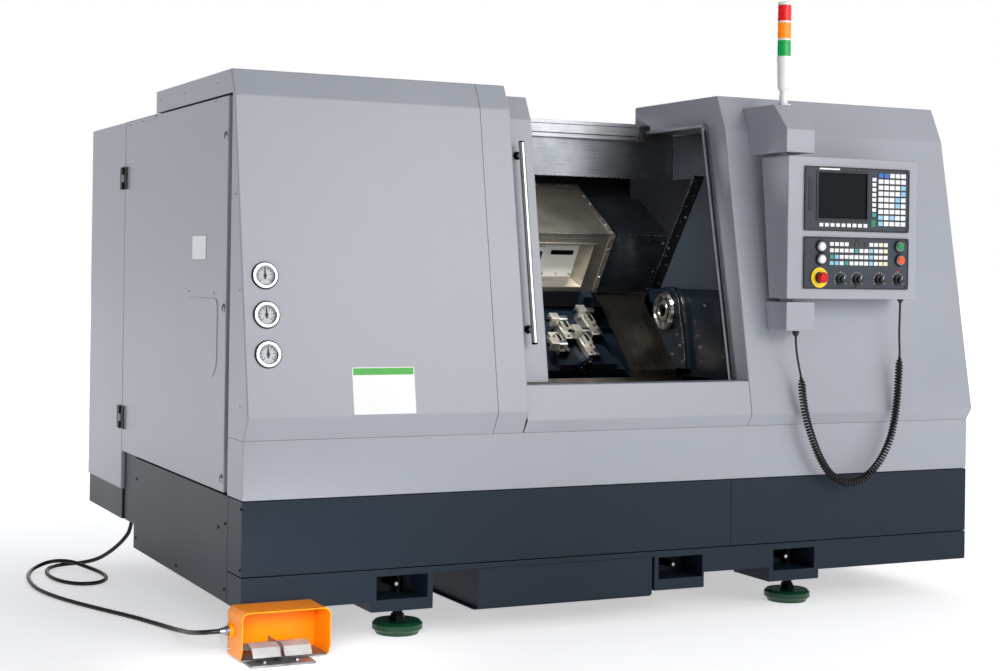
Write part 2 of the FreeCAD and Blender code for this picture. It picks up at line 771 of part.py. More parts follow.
def control_arms():
    left = size.arm_left
    right = left + size.arm_width
    top = [(size.arm_front, size.arm_low), (size.arm_front, size.arm_step),
           (size.arm_crest_y, size.arm_crest_z),
           (on_slope(size.right_brow_y, size.right_brow_z, size.right_top_y,
                     size.right_top_z, size.arm_crest_z), size.arm_crest_z),
           (size.right_brow_y, size.right_brow_z), (right_face(size.arm_low), size.arm_low)]
    upper = prism("YZ", [top], left, right)
    low = [(size.low_arm_front, size.low_arm_bottom), (size.low_arm_front, size.low_arm_top),
           (right_face(size.low_arm_top), size.low_arm_top),
           (right_face(size.low_arm_bottom), size.low_arm_bottom)]
    lower = prism("YZ", [low], left, right)
    for body, box_edge, side in ((upper, size.box_top, 1), (lower, size.box_bottom, -1)):
        depth = size.pivot_depth
        if side > 0:
            span = (box_edge - depth, size.arm_low)
        else:
            span = (size.low_arm_top, box_edge + depth)
        pad(body, "XY", [(size.pivot_x, size.pivot_y, size.pivot_radius)], *span)
    return piece("control_arms", group([upper, lower]))


def control_box():
    left = size.arm_left
    right = left + size.box_width
    outline = [(size.box_front, size.box_bottom), (size.box_front, size.box_top),
               (size.box_back_high, size.box_top), (size.box_back_low, size.box_bottom)]
    body = prism("YZ", [outline], left, right)
    inner = [(size.box_front + thin, size.box_bottom + thin),
             (size.box_front + thin, size.box_top - thin),
             (size.box_back_high - thin, size.box_top - thin),
             (size.box_back_low - thin, size.box_bottom + thin)]
    pocket(body, "YZ", [inner], left + thin, right - thin)
    lap = size.panel_lap
    for low, high in ((size.cnc_low, size.cnc_high), (size.panel_low, size.panel_high)):
        pocket(body, "XZ", [rect(size.panel_left + lap, low + lap, size.panel_right - lap,
                                 high - lap)], size.box_front, size.box_front + thin)
    hub = size.pivot_radius + 10
    centre = (size.pivot_x, size.pivot_y)
    pad(body, "XY", [(*centre, hub)], size.box_bottom, size.box_bottom + size.pivot_depth)
    pad(body, "XY", [(*centre, hub)], size.box_top - size.pivot_depth, size.box_top)
    hole = (*centre, size.pivot_radius + size.running_gap)
    reach = size.pivot_depth + size.fit_gap
    pocket(body, "XY", [hole], size.box_bottom, size.box_bottom + reach)
    pocket(body, "XY", [hole], size.box_top - reach, size.box_top)
    return piece("control_box", body)


FRONT = Rotation(Vector(1, 0, 0), 90)

BUTTONS = {
    "white_button_upper": (2207, 1367), "white_button_lower": (2208, 1319),
    "green_button": (2573, 1372), "orange_button": (2577, 1320),
}
KNOBS = {"knob_1": 2299, "knob_2": 2376, "knob_3": 2481, "knob_4": 2569}
KNOB_LEVEL = 1244
STOP_PLACE = (2200, 1250)


def panels():
    """The two panels, bored for the buttons and knobs that pass through them."""
    face = size.box_front - size.panel_thick
    upper = prism("XZ", [rect(size.panel_left, size.cnc_low, size.panel_right,
                              size.cnc_high)], face, size.box_front)
    pocket(upper, "XZ", [rect(size.screen_left, size.screen_low, size.screen_right,
                              size.screen_high)], face, size.box_front)
    piece("cnc_panel", upper)
    lip = 5
    glass = prism("XZ", [rect(size.screen_left - lip, size.screen_low - lip,
                              size.screen_right + lip, size.screen_high + lip)],
                  size.box_front, size.box_front + 8)
    pad(glass, "XZ", [rect(size.screen_left + 0.5, size.screen_low + 0.5,
                           size.screen_right - 0.5, size.screen_high - 0.5)],
        face + 3, size.box_front)
    piece("cnc_screen", glass)

    lower = prism("XZ", [rect(size.panel_left, size.panel_low, size.panel_right,
                              size.panel_high)], face, size.box_front)
    holes = [(x, z, size.button_bore) for x, z in BUTTONS.values()]
    holes += [(x, KNOB_LEVEL, 5.06) for x in KNOBS.values()]
    holes.append((*STOP_PLACE, size.button_bore))
    pocket(lower, "XZ", holes, face, size.box_front)
    collar = prism("XZ", [(*STOP_PLACE, size.collar_radius),
                          (*STOP_PLACE, size.button_bore)], face - 4, face)
    piece("operator_panel", group([lower, collar]))


def key_grid(left, right, low, high, columns, rows, wide, tall, top, backing):
    """One moulded keypad sheet with a grid of raised keys."""
    solids = [Part.makeBox(right - left + 2 * backing, 1, high - low + 2 * backing,
                           Vector(left - backing, top, low - backing))]
    for column in range(columns):
        for row in range(rows):
            x = left + (right - left - wide) * column / max(columns - 1, 1)
            z = low + (high - low - tall) * row / max(rows - 1, 1)
            solids.append(Part.makeBox(wide, size.key_out.value + 0.5, tall,
                                       Vector(x, top - size.key_out.value, z)))
    return solids[0].multiFuse(solids[1:]).removeSplitter()


def keypads():
    """Sealed key mats: soft keys, keyboard and the operator's keys."""
    top = SIZES["box_front"] - SIZES["panel_thick"] - 1
    wide, tall = SIZES["key_wide"], SIZES["key_high"]
    mats = [
        key_grid(2197, 2418, 1442, 1442 + tall, 9, 1, wide, tall, top, 2),
        key_grid(2441, 2441 + wide, 1484, 1632, 1, 8, wide, tall, top, 2),
        key_grid(2470, 2598, 1450, 1650, 5, 9, wide + 4, tall + 3, top, 2),
        key_grid(2247, 2516, 1298, 1384, 12, 4, wide, tall + 1, top, 2),
    ]
    piece("key_mats", shape(Part.makeCompound(mats)))


def panel_controls():
    """Buttons slide, knobs turn; each has its own shank through the lower panel."""
    face = size.box_front - size.panel_thick
    shank = size.button_bore - size.fit_gap
    cap = size.button_radius
    out = size.button_out
    clear = size.button_throw + 1
    for label, (x, z) in BUTTONS.items():
        button = turned([(0, -20), (shank, -20), (shank, clear), (cap, clear),
                         (cap, clear + out - 2), (cap - 2, clear + out), (0, clear + out)])
        button.Placement = Placement(Vector(), FRONT)
        piece(label, button, x, face, z)
    head = size.stop_radius
    stop = turned([(0, -20), (shank, -20), (shank, 10), (14, 12), (14, 20), (head, 24),
                   (head, 32), (head - 4, 37), (0, 39)])
    stop.Placement = Placement(Vector(), FRONT)
    piece("stop_button", stop, STOP_PLACE[0], face, STOP_PLACE[1])
    grip = size.knob_radius
    for label, x in KNOBS.items():
        knob = turned([(0, -20), (5, -20), (5, 0.5), (grip, 0.5), (grip, 9),
                       (grip - 4, 10), (grip - 5, size.knob_out), (0, size.knob_out)])
        knob.Placement = Placement(Vector(), FRONT)
        piece(label, knob, x, face, KNOB_LEVEL)


def signal_lamp():
    """A white post with three stacked lenses."""
    foot = size.arm_crest_z
    radius = size.lamp_radius
    low = size.lens_low - foot
    top = low + size.lens_pitch * 3 + size.lamp_cap - 7
    core = 8
    post = turned([(0, 0), (24, 0), (24, 5), (17, 8), (15, 45), (13, 52), (16, 58),
                   (22, 66), (radius - 1, 160), (radius, low - 5), (radius, low),
                   (core, low), (core, low + 59.8), (radius, low + 60.2),
                   (radius, low + 67), (core, low + 67), (core, low + 126.8),
                   (radius, low + 127.2), (radius, low + 134), (core, low + 134),
                   (core, low + 193.8), (radius, low + 194.2), (radius, top - 3),
                   (radius - 4, top), (0, top)])
    piece("lamp_post", post, size.lamp_x, size.lamp_y, foot)
    for index, label in enumerate(("lamp_green", "lamp_amber", "lamp_red")):
        gap = size.fit_gap
        lens = turned([(core + 0.2, gap), (radius - 0.6, gap),
                       (radius - 0.6, size.lens_height - gap - 0.2),
                       (core + 0.2, size.lens_height - gap - 0.4)])
        piece(label, lens, size.lamp_x, size.lamp_y,
              size.lens_low + size.lens_pitch * index)


def gauges():
    """Three pressure gauges set in the hood, each with its own needle."""
    cases = []
    outer, case, dial = size.gauge_radius, size.gauge_case, size.dial_radius
    for number, level in enumerate(gauge_levels(), start=1):
        body = turned([(0, -32), (case, -32), (case, 0), (outer, 0), (outer, 7),
                       (outer - 2, 9), (dial + 3, 9), (dial, 7), (dial, 2), (1.45, 2),
                       (1.45, 6.2), (0, 6.2)])
        body.Placement = Placement(Vector(), slope_rotation())
        put(body, size.gauge_x, gauge_place(level), level)
        cases.append(body)
        needle = prism("XY", [[(-1.4, -9), (1.4, -9), (0.5, 25), (-0.5, 25)]], 3.2, 4.2)
        pad(needle, "XY", [(0, 0, 3.4)], 2.6, 5.4)
        pocket(needle, "XY", [(0, 0, 1.5)], 2.6, 5.4)
        needle.Placement = Placement(Vector(), slope_rotation())
        piece(f"gauge_needle_{number}", needle, size.gauge_x, gauge_place(level), level)
    piece("gauge_cases", group(cases))


# ---------------------------------------------------------------- bed and spindles


def slant_bed():
    """A cored casting with a slanted top and two box ways."""
    wall = size.bed_wall
    front_low, back = size.bed_y, size.bed_y + size.bed_span * cosine(size.slant_angle)
    outline = [(front_low, size.bed_bottom), slant(0, 0), slant(size.bed_span, 0),
               (back, size.bed_bottom)]
    core = [(front_low + wall, size.bed_bottom + wall),
            (front_low + wall, size.bed_z - wall / 4),
            (back - wall, slant(size.bed_span, 0)[1] - wall * 1.7),
            (back - wall, size.bed_bottom + wall)]
    body = prism("YZ", [outline, core], size.bed_start, size.bed_finish)
    for low in (size.way_low, size.way_high):
        pad(body, "YZ", [slant_rect(low, 0, low + size.way_width, size.way_height)],
            size.bed_start, size.bed_finish)
    return piece("slant_bed", body)


def headstocks():
    y, z = size.spindle_y, size.spindle_z
    bore = size.spindle_radius + size.running_gap
    foot = [slant(20, size.way_height), slant(560, size.way_height), slant(560, 260),
            (y + 150, z + 180), (y - 110, z + 180), (y - 160, z + 110), (y - 160, z - 120)]
    left = prism("YZ", [foot, (y, z, bore)], size.head_start, size.head_end)
    piece("left_headstock", left)

    edge = size.cheek_radius
    cheek = [(y - edge, z), (y + edge, z), (y + edge + 60, z - 90),
             (y + 60, size.trough_z + 84), (y - 20, size.trough_z + 4),
             (y - edge - 50, size.trough_z + 4), (y - edge - 35, z - 130)]
    clear = size.cover_low_y - 12
    shield = [(96, size.strip_low + 4), (175, size.shield_top),
              (clear, size.shield_top), (clear, size.shield_top - 35),
              (size.trough_y + 3, size.trough_z - 4), (size.trough_y + 3, size.strip_low + 4)]
    hole = (y, z, size.right_radius + size.running_gap)
    right = prism("YZ", [(y, z, edge)], size.right_head, size.shield)
    pad(right, "YZ", [cheek], size.right_head, size.shield)
    pocket(right, "YZ", [hole], size.right_head, size.shield)
    pad(right, "YZ", [shield, hole], size.shield, size.shield + 64)
    pad(right, "YZ", [slant_rect(120, size.way_height, 560, 330), hole],
        size.shield + 64, size.right_head_end)
    piece("right_headstock", right)


def spindles():
    """The driven chuck on the left, with three jaws, and the plain nose on the right."""
    y, z = size.spindle_y, size.spindle_z
    radius, bore = size.spindle_radius, size.spindle_bore
    shaft = size.head_end - size.head_start + 12
    chuck, deep = size.chuck_radius, size.chuck_length
    body = turned([(bore, -shaft), (radius, -shaft), (radius, 3), (chuck - 6, 3),
                   (chuck, 8), (chuck, deep - 4), (chuck - 4, deep), (bore, deep)])
    for index in range(3):
        slot = size.jaw_width / 2 + size.fit_gap
        groove = body.newObject("PartDesign::Pocket", "Slot")
        groove.Profile = draw(body, "XY", [rect(-slot, bore - 4, slot, chuck + 1)], deep)
        groove.Profile[0].AttachmentOffset = Placement(
            Vector(0, 0, deep.value), Rotation(Vector(0, 0, 1), 120 * index))
        bind(groove, "Length", 18 + size.fit_gap)
    body.Placement = Placement(Vector(), ALONG["X"])
    piece("chuck", body, size.head_end, y, z)

    reach = size.jaw_inner
    for index in range(3):
        half = size.jaw_width / 2
        jaw = prism("XY", [rect(-half, reach, half, chuck - 4)], deep - 18,
                    deep + size.jaw_out / 2)
        pad(jaw, "XY", [rect(-half, reach, half, reach + size.jaw_height)],
            deep + size.jaw_out / 2, deep + size.jaw_out)
        turn = Rotation(Vector(0, 0, 1), 120 * index)
        jaw.Placement = Placement(Vector(), ALONG["X"].multiply(turn))
        piece(f"jaw_{index + 1}", jaw, size.head_end, y, z)

    nose, thick = size.nose_radius, size.nose_thick
    right = size.right_radius
    tail = turned([(24, 0), (nose - 4, 0), (nose, 4), (nose, thick - 1), (right, thick - 1),
                   (right, 480), (24, 480)])
    pocket(tail, "XY", [(nose.value * 0.68 * math.cos(math.radians(60 * step + 30)),
                         nose.value * 0.68 * math.sin(math.radians(60 * step + 30)), 6)
                        for step in range(6)], 0, thick - 4)
    tail.Placement = Placement(Vector(), ALONG["X"])
    piece("right_spindle", tail, size.right_head - thick, y, z)


# ---------------------------------------------------------------- carriage and work-area covers


def carriage():
    bottom = size.way_height + size.fit_gap
    body = prism("YZ", [slant_rect(size.carriage_low, bottom, size.carriage_high,
                                   size.carriage_top)],
                 size.carriage_left, size.carriage_right)
    for low in (size.way_low, size.way_high):
        pad(body, "YZ", [slant_rect(low - 16, 6, low - size.fit_gap, bottom + 2)],
            size.carriage_left, size.carriage_right)
    for low in (size.carriage_left + 20, size.carriage_right - 60):
        pad(body, "YZ", [slant_rect(430, size.carriage_top, 470, 188)], low, low + 40)
    piece("carriage", body)

    low = size.carriage_top + size.fit_gap
    slide = prism("YZ", [slant_rect(size.slide_start, low, size.slide_finish,
                                    size.slide_top)], size.slide_left, size.slide_right)
    flange = rod("Y", (size.slide_left + 92, 0), 38, 0, 14)
    flange.Placement = Placement(Vector(), Rotation(Vector(1, 0, 0),
                                                    90 + SIZES["slant_angle"]))
    spot = slant(size.slide_start + 1, 114)
    put(flange, size.slide_left + 110, spot[0], spot[1])
    piece("cross_slide", fuse([slide, flange]))

    blocks = []
    for left, wide, start, finish, top in (
            (130, 50, 100, 270, 26), (62, 50, 190, 330, 40), (6, 44, 120, 250, 30),
            (190, 48, 210, 380, 44)):
        x = size.slide_left + left
        base = size.slide_top
        blocks.append(prism("YZ", [slant_rect(start, base, finish, base + top)],
                            x, x + wide))
    piece("tool_blocks", group(blocks))


def ridge(gap, back_y, back_z, low_y, low_z):
    """The folded section of a way cover: a front ridge between two slopes."""
    gap = as_size(gap)
    front = [(back_y, back_z + gap), (size.ridge_y - gap, size.ridge_z), (low_y - gap, low_z)]
    rear = [(low_y - gap + thin, low_z + thin), (size.ridge_y - gap + thin * 1.2, size.ridge_z),
            (back_y, back_z + gap - thin)]
    return front + rear


def way_covers():
    plain = ridge(0, size.cover_back_y, size.cover_back_z, size.cover_low_y, size.cover_low_z)
    right = prism("YZ", [plain], size.guard_right - 80, size.way_cover_right)
    left = prism("YZ", [plain], size.head_end + 60, size.guard_left + 60)
    cover = [(size.frame_low_y, size.frame_low_z), (size.trough_y, size.trough_z),
             (size.trough_y, size.strip_low), (size.trough_y + 4, size.strip_low),
             (size.trough_y + 4, size.trough_z - 6), (size.frame_low_y + 3, size.frame_low_z - 3)]
    sloped = prism("YZ", [cover], size.bed_cover_left, size.right_head - 0.3)
    piece("way_covers", group([right, left, sloped]))

    section = ridge(size.guard_gap, size.guard_back_y, size.guard_back_z,
                    size.cover_low_y, size.cover_low_z)
    guard = prism("YZ", [section], size.guard_left, size.guard_right)
    pocket(guard, "XZ", [rect(size.guard_left + 60, 1195, size.guard_right - 85, 1365)],
           size.ridge_y - 40, size.cover_low_y + 40)
    return piece("carriage_guard", guard)


def work_area_liner():
    x = size.liner_x
    wall = [(178, size.shield_top + 2), (314, size.seal_roof_z - size.seal_thick),
            (size.rail_front + 32, size.seal_roof_z - size.seal_thick),
            (size.rail_front + 32, size.fascia_low), (size.frame_top_y + 3, size.fascia_low),
            (884, size.shield_top + 2)]
    right = prism("YZ", [wall], x, x + thin)
    back_y = size.rail_front + size.rail_depth
    start = size.head_end + 2 + thin + size.fit_gap
    fascia = prism("XZ", [rect(start, size.fascia_low, x, size.roof_z - 5)],
                   back_y + 1, back_y + 1 + thin)
    frame = [(size.frame_top_y, size.frame_top_z), (size.frame_low_y, size.frame_low_z),
             (size.frame_low_y + 6, size.frame_low_z + 5),
             (size.frame_top_y + 6, size.frame_top_z + 5)]
    rib = prism("YZ", [frame], x - 50, x)
    rear = prism("XZ", [rect(size.head_end + 2, size.cover_low_z + 30, x, size.roof_z - thin)],
                 1148, 1151)
    hole = (size.spindle_y, size.spindle_z, size.chuck_radius + 12)
    clear = size.spindle_z - size.chuck_radius
    left = prism("YZ", [[(84, size.strip_low), (290, 1790), (790, 1790), (1140, 1500),
                         (1140, clear + 256), (606, clear - 104), (606, size.strip_low)],
                        hole], size.head_end + 2, size.head_end + 2 + thin)
    front = size.trough_front
    top = size.seal_low_z - 2
    floor = [(size.trough_y - 2, size.strip_low), (size.trough_y - 30, size.trough_floor),
             (front, size.trough_floor), (front, top), (front + thin, top),
             (front + thin, size.trough_floor + thin),
             (size.trough_y - 32, size.trough_floor + thin),
             (size.trough_y - 5, size.strip_low)]
    trough = prism("YZ", [floor], size.head_end + 2, size.shield - 2)
    pad(trough, "YZ", [rect(front, top, front + thin, size.sill_top - thin - size.fit_gap)],
        size.left_end + size.seam, size.right_start - size.seam)
    return piece("work_area_liner", group([right, fascia, rib, rear, left, trough]))


# ---------------------------------------------------------------- foot switch


def arch(inset, front, back):
    """A block with rounded upper left and right corners, inset all round from the guard."""
    left = size.guard_x + inset
    right = size.guard_x + size.guard_width - inset
    high = size.guard_high - inset
    bend = size.guard_round - inset
    low = size.guard_low
    sides = block((left, right), (front, back), (low, high - bend))
    crown = block((left + bend, right - bend), (front, back), (low, high))
    rounds = [rod("Y", (x, high - bend), bend, front, back)
              for x in (left + bend, right - bend)]
    return fuse([sides, crown] + rounds)


def foot_switch():
    left = size.guard_x
    right = left + size.guard_width
    front, back, high = size.guard_front, size.guard_back, size.guard_high
    wall = size.guard_wall
    low = size.guard_low
    gland_y, gland_z = size.gland_y, size.gland_z
    hood = cut(arch(as_size(0), front, back), arch(wall, front - 1, back - wall))
    boss = rod("X", (gland_y, gland_z), 24, left - 10, left)
    bore = rod("X", (gland_y, gland_z), 11.3, left - 12, left + wall + 1)
    slope = prism("YZ", [[(front - 2, low - 2), (front + 20, low - 2),
                          (front - 2, low + size.guard_cut)]], left - 1, right + 1)
    hood = cut(cut(fuse([hood, boss]), bore), slope)
    piece("foot_guard", hood)

    gland = turned([(8.3, -12), (11, -12), (11, 10), (16, 10), (16, 20), (12.5, 22),
                    (9.6, 40), (8.3, 40)])
    gland.Placement = Placement(Vector(), Rotation(Vector(0, 1, 0), -90))
    piece("foot_cord_gland", gland, left, gland_y, gland_z)

    middle = size.pedal_centre
    half = size.pedal_width + size.pedal_gap / 2
    plate = prism("XY", [rect(middle - half - 8, size.pedal_front, middle + half + 8,
                              back - wall)], 0, size.pedal_plate)
    under = [(left + wall, front + 22), (right - wall, front + 22),
             (right - wall, back - wall), (left + wall, back - wall)]
    pad(plate, "XY", [under], size.pedal_plate, low + 1)
    fin = [(size.pedal_front + 30, size.pedal_plate), (size.pedal_front + 36, 48),
           (size.pedal_front + 66, 66), (size.pedal_back, 66), (size.pedal_back, size.pedal_plate)]
    pad(plate, "YZ", [fin], middle - 2, middle + 2)
    hinge_y = size.pedal_back
    hinge_z = size.pedal_hinge_z
    pin = size.pedal_pin
    pad(plate, "YZ", [(hinge_y, hinge_z, pin)], middle - half - 3, middle + half + 3)
    for x in (middle - half - 6, middle + half):
        ear = [(hinge_y - 10, size.pedal_plate), (hinge_y - 10, hinge_z + 8),
               (hinge_y + 10, hinge_z + 8), (hinge_y + 10, size.pedal_plate)]
        pad(plate, "YZ", [ear], x, x + 6)
    piece("foot_base_plate", plate)

    for label, start in (("pedal_left", middle - half + 2),
                         ("pedal_right", middle + half - size.pedal_width - 2)):
        tread = [(hinge_y + 10, hinge_z + 12), (size.pedal_front + 62, hinge_z + 34),
                 (size.pedal_front + 30, hinge_z + 24), (size.pedal_front + 10, hinge_z - 4),
                 (size.pedal_front + 15, hinge_z - 5), (size.pedal_front + 34, hinge_z + 18),
                 (size.pedal_front + 62, hinge_z + 28), (hinge_y - 9, hinge_z + 8),
                 (hinge_y - 9, hinge_z - 9), (hinge_y + 10, hinge_z - 9)]
        body = prism("YZ", [tread], start, start + size.pedal_width)
        pocket(body, "YZ", [(hinge_y, hinge_z, pin + size.running_gap)], start,
               start + size.pedal_width)
        piece(label, body)


# ---------------------------------------------------------------- cords

# Route points chosen by hand, in drawing axes.
FOOT_ROUTE = [
    (30.3, 1530, 290), (30.3, 1558, 190), (8, 1592, 140), (-25, 1655, 88), (-62, 1745, 40),
    (-118, 1822, 16), (-196, 1850, 10), (-262, 1780, 9), (-290, 1640, 9),
    (-278, 1490, 9), (-222, 1385, 9), (-140, 1380, 9), (-84, 1470, 9),
    (-76, 1600, 9), (-110, 1715, 16), (-165, 1785, 34), (-240, 1815, 34),
    (-318, 1770, 16), (-362, 1660, 9), (-383, 1510, 9), (-388, 1340, 9),
    (-358, 1170, 9), (-308, 1008, 9), (-248, 850, 9), (-184, 694, 9),
    (-136, 544, 9), (-108, 400, 14), (-112, 260, 34), (-138, 130, 58), (-142, 10, 80),
    (-119, -50, 92), (-36, -50, 92),
]
CURL_ROUTE = [
    (2124, -60, 1046), (2124, -60, 1000), (2136, -61, 930), (2152, -62, 868), (2158, -62, 800),
    (2176, -62, 718), (2206, -62, 640), (2244, -62, 562), (2296, -62, 496), (2374, -62, 466),
    (2454, -62, 484), (2520, -62, 541), (2566, -62, 616), (2590, -62, 698), (2602, -62, 790),
    (2607, -62, 884), (2611, -62, 962), (2608, -60, 1030), (2611, -58, 1095), (2614, -56, 1166),
]
CURL_SPAN = (3, 16)


def cord_path(points, name):
    """Straight runs joined by tangent arcs, each as large as its two runs allow."""
    places = [Vector(*point) for point in points]
    edges = []
    radii = []
    here = places[0]
    for before, corner, after in zip(places, places[1:], places[2:]):
        arrive = corner - before
        leave = after - corner
        turn = arrive.getAngle(leave)
        reach = 0.45 * min(arrive.Length, leave.Length)
        radii.append(reach / math.tan(turn / 2))
        arrive.normalize()
        leave.normalize()
        start = corner - arrive * reach
        end = corner + leave * reach
        middle_way = leave - arrive
        middle_way.normalize()
        radius = radii[-1]
        centre = corner + middle_way * (radius / math.cos(turn / 2))
        middle = centre - middle_way * radius
        edges.append(Part.LineSegment(here, start).toShape())
        edges.append(Part.Arc(start, middle, end).toShape())
        here = end
    edges.append(Part.LineSegment(here, places[-1]).toShape())
    print(f"{name}: radii {[round(radius) for radius in radii]}")
    return Part.Wire(edges)


def tube(path, radius, name):
    """A round cord along a path, checked against its section times its length."""
    start = path.Edges[0].valueAt(path.Edges[0].FirstParameter)
    along = path.Edges[0].tangentAt(path.Edges[0].FirstParameter)
    circle = Part.Wire(Part.Circle(start, along, radius).toShape())
    solid = path.makePipeShell([circle], True, False)
    wanted = math.pi * radius ** 2 * path.Length
    print(f"{name}: length {path.Length:.0f}, volume ratio {solid.Volume / wanted:.4f}")
    return solid


def cords():
    foot = cord_path(FOOT_ROUTE, "foot cord")
    piece("foot_cord", shape(tube(foot, SIZES["foot_cord"] / 2, "foot cord")))

    first, last = CURL_SPAN
    coil = cord_path(CURL_ROUTE[first:last + 1], "curly cord")
    whole = cord_path(CURL_ROUTE, "panel cord")
    fat = tube(coil, SIZES["curl"] / 2, "curly cord")
    slim = tube(whole, SIZES["curl_tail"] / 2, "panel cord")
    piece("panel_cord", shape(fat.fuse(slim).removeSplitter()))

    glands = []
    for x, y, z, up in ((2124, -60, 1050, 1),):
        nut = turned([(5, -22), (8, -20), (10, -14), (13, -12), (13, 0), (5, 0)])
        put(nut, x, y, z)
        glands.append(nut)
    piece("cord_glands", group(glands))


base_frame()
base_covers()
levelling_feet()
coolant_tank()
piece("plinth_and_sill", group([plinth_band(), sill_panel()]))
left_hood()
right_hood()
opening_frame()
rear_enclosure()
sliding_door()
side_door()
control_arms()
control_box()
panels()
keypads()
panel_controls()
signal_lamp()
gauges()
slant_bed()
headstocks()
spindles()
carriage()
way_covers()
work_area_liner()
foot_switch()
cords()

# ---------------------------------------------------------------- build, test and write

doc.recompute()

faults = []
for item in doc.Objects:
    if "Invalid" in item.State or "Error" in item.State:
        faults.append(f"{item.Label} {item.State}")
    if item.TypeId == "PartDesign::Pocket" and item.BaseFeature:
        if item.Shape.Volume > item.BaseFeature.Shape.Volume - 0.5:
            faults.append(f"{item.getParent().Label} {item.Label} cuts nothing")
for item in pieces:
    if item.Shape.isNull() or not item.Shape.isValid() or item.Shape.Volume <= 0:
        faults.append(f"{item.Label} has no valid shape")
if faults:
    raise SystemExit("faults: " + "; ".join(faults))

os.makedirs("parts", exist_ok=True)
box = FreeCAD.BoundBox()
for item in pieces:
    item.Shape.exportStep(f"parts/{item.Label}.step")
    box.add(item.Shape.BoundBox)
print(len(pieces), "pieces, box", box)
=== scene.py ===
import math

import bmesh
import bpy
from mathutils import Matrix, Vector


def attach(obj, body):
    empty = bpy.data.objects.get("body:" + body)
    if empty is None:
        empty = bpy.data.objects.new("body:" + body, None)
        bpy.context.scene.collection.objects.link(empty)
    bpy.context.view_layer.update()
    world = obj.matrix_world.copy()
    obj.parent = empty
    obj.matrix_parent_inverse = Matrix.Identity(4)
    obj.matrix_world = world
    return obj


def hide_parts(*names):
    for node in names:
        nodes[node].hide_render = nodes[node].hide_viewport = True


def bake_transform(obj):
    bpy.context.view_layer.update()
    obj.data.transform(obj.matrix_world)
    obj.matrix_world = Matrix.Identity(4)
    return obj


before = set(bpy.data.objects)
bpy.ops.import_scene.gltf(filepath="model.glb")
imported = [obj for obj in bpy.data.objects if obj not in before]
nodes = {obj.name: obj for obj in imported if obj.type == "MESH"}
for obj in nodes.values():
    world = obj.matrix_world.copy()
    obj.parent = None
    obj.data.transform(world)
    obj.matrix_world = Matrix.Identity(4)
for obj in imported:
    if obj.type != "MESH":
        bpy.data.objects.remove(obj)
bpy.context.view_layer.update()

# ---------------------------------------------------------------- studio
# A pale floor, a pale surround that is darker overhead, three soft boxes and two small
# lamps, as for a catalogue shot of a machine.  The camera stands off the front left corner.


def at(x, y, z):
    """Millimetres from the machine's left end, plinth front and floor, in the row frame."""
    return Vector(((x - 1492.5) / 1000, (y - 1041) / 1000, z / 1000))


def linear(hex_colour):
    """An sRGB hex colour as linear red, green, blue and alpha."""
    channels = [int(hex_colour[start:start + 2], 16) / 255 for start in (1, 3, 5)]
    channels = [c / 12.92 if c <= 0.04045 else ((c + 0.055) / 1.055) ** 2.4 for c in channels]
    return (*channels, 1.0)


def link(obj):
    bpy.context.scene.collection.objects.link(obj)
    return obj


def add_node(owner, kind, settings=None, links=None):
    """A node with its settings; links name an input and the output that feeds it."""
    tree = getattr(owner, "node_tree", None) or owner
    node = tree.nodes.new(kind)
    for key, value in (settings or {}).items():
        if isinstance(key, int) or key in node.inputs:
            node.inputs[key].default_value = value
        else:
            setattr(node, key, value)
    for key, source in (links or {}).items():
        tree.links.new(source, node.inputs[key])
    return node


def new_material(name):
    """An empty material, and the object coordinates that its patterns lie in."""
    material = bpy.data.materials.new(name)
    material.use_nodes = True
    material.node_tree.nodes.clear()
    return material, add_node(material, "ShaderNodeTexCoord").outputs["Object"]


def noise(owner, scale, detail, place=None):
    """Cloudy noise, whose scale counts its patches per metre."""
    return add_node(owner, "ShaderNodeTexNoise", {"Scale": scale, "Detail": detail},
        {"Vector": place} if place else None).outputs["Fac"]


def tone(owner, source, low, hex_low, high, hex_high):
    """A colour that goes from one hex value to the other as the source rises."""
    node = add_node(owner, "ShaderNodeValToRGB", None, {"Fac": source})
    for stop, position, colour in zip(node.color_ramp.elements, (low, high), (hex_low, hex_high)):
        stop.position = position
        stop.color = linear(colour)
    return node.outputs["Color"]


def stretched(owner, source, low, high):
    """The source's 0 to 1 laid over another range."""
    return add_node(owner, "ShaderNodeMapRange", {"To Min": low, "To Max": high},
        {"Value": source}).outputs["Result"]


def relief(owner, source, strength, distance, below=None):
    """A normal bent by the source over a depth in metres, on top of another normal."""
    links = {"Height": source}
    if below:
        links["Normal"] = below
    return add_node(owner, "ShaderNodeBump", {"Strength": strength, "Distance": distance},
        links).outputs["Normal"]


def finish_material(material, settings, links=None):
    """The shader and the output of a material."""
    shader = add_node(material, "ShaderNodeBsdfPrincipled", settings, links)
    add_node(material, "ShaderNodeOutputMaterial", None, {"Surface": shader.outputs[0]})
    return material


camera = link(bpy.data.objects.new("camera", bpy.data.cameras.new("camera")))
camera.data.lens = 63.15
camera.data.sensor_width = 36
camera.data.shift_y = -0.0688
camera.data.clip_end = 90
across = Vector((0.89966, -0.43633, 0.01490))
upward = Vector((-0.01340, 0.00652, 0.99989))
forward = upward.cross(across)
camera_turn = Matrix((across, upward, -forward)).transposed().to_4x4()
camera.matrix_world = Matrix.Translation(at(-1743.8, -5487.6, 1272.9)) @ camera_turn
bpy.context.scene.camera = camera
bpy.context.scene.view_settings.view_transform = "Standard"

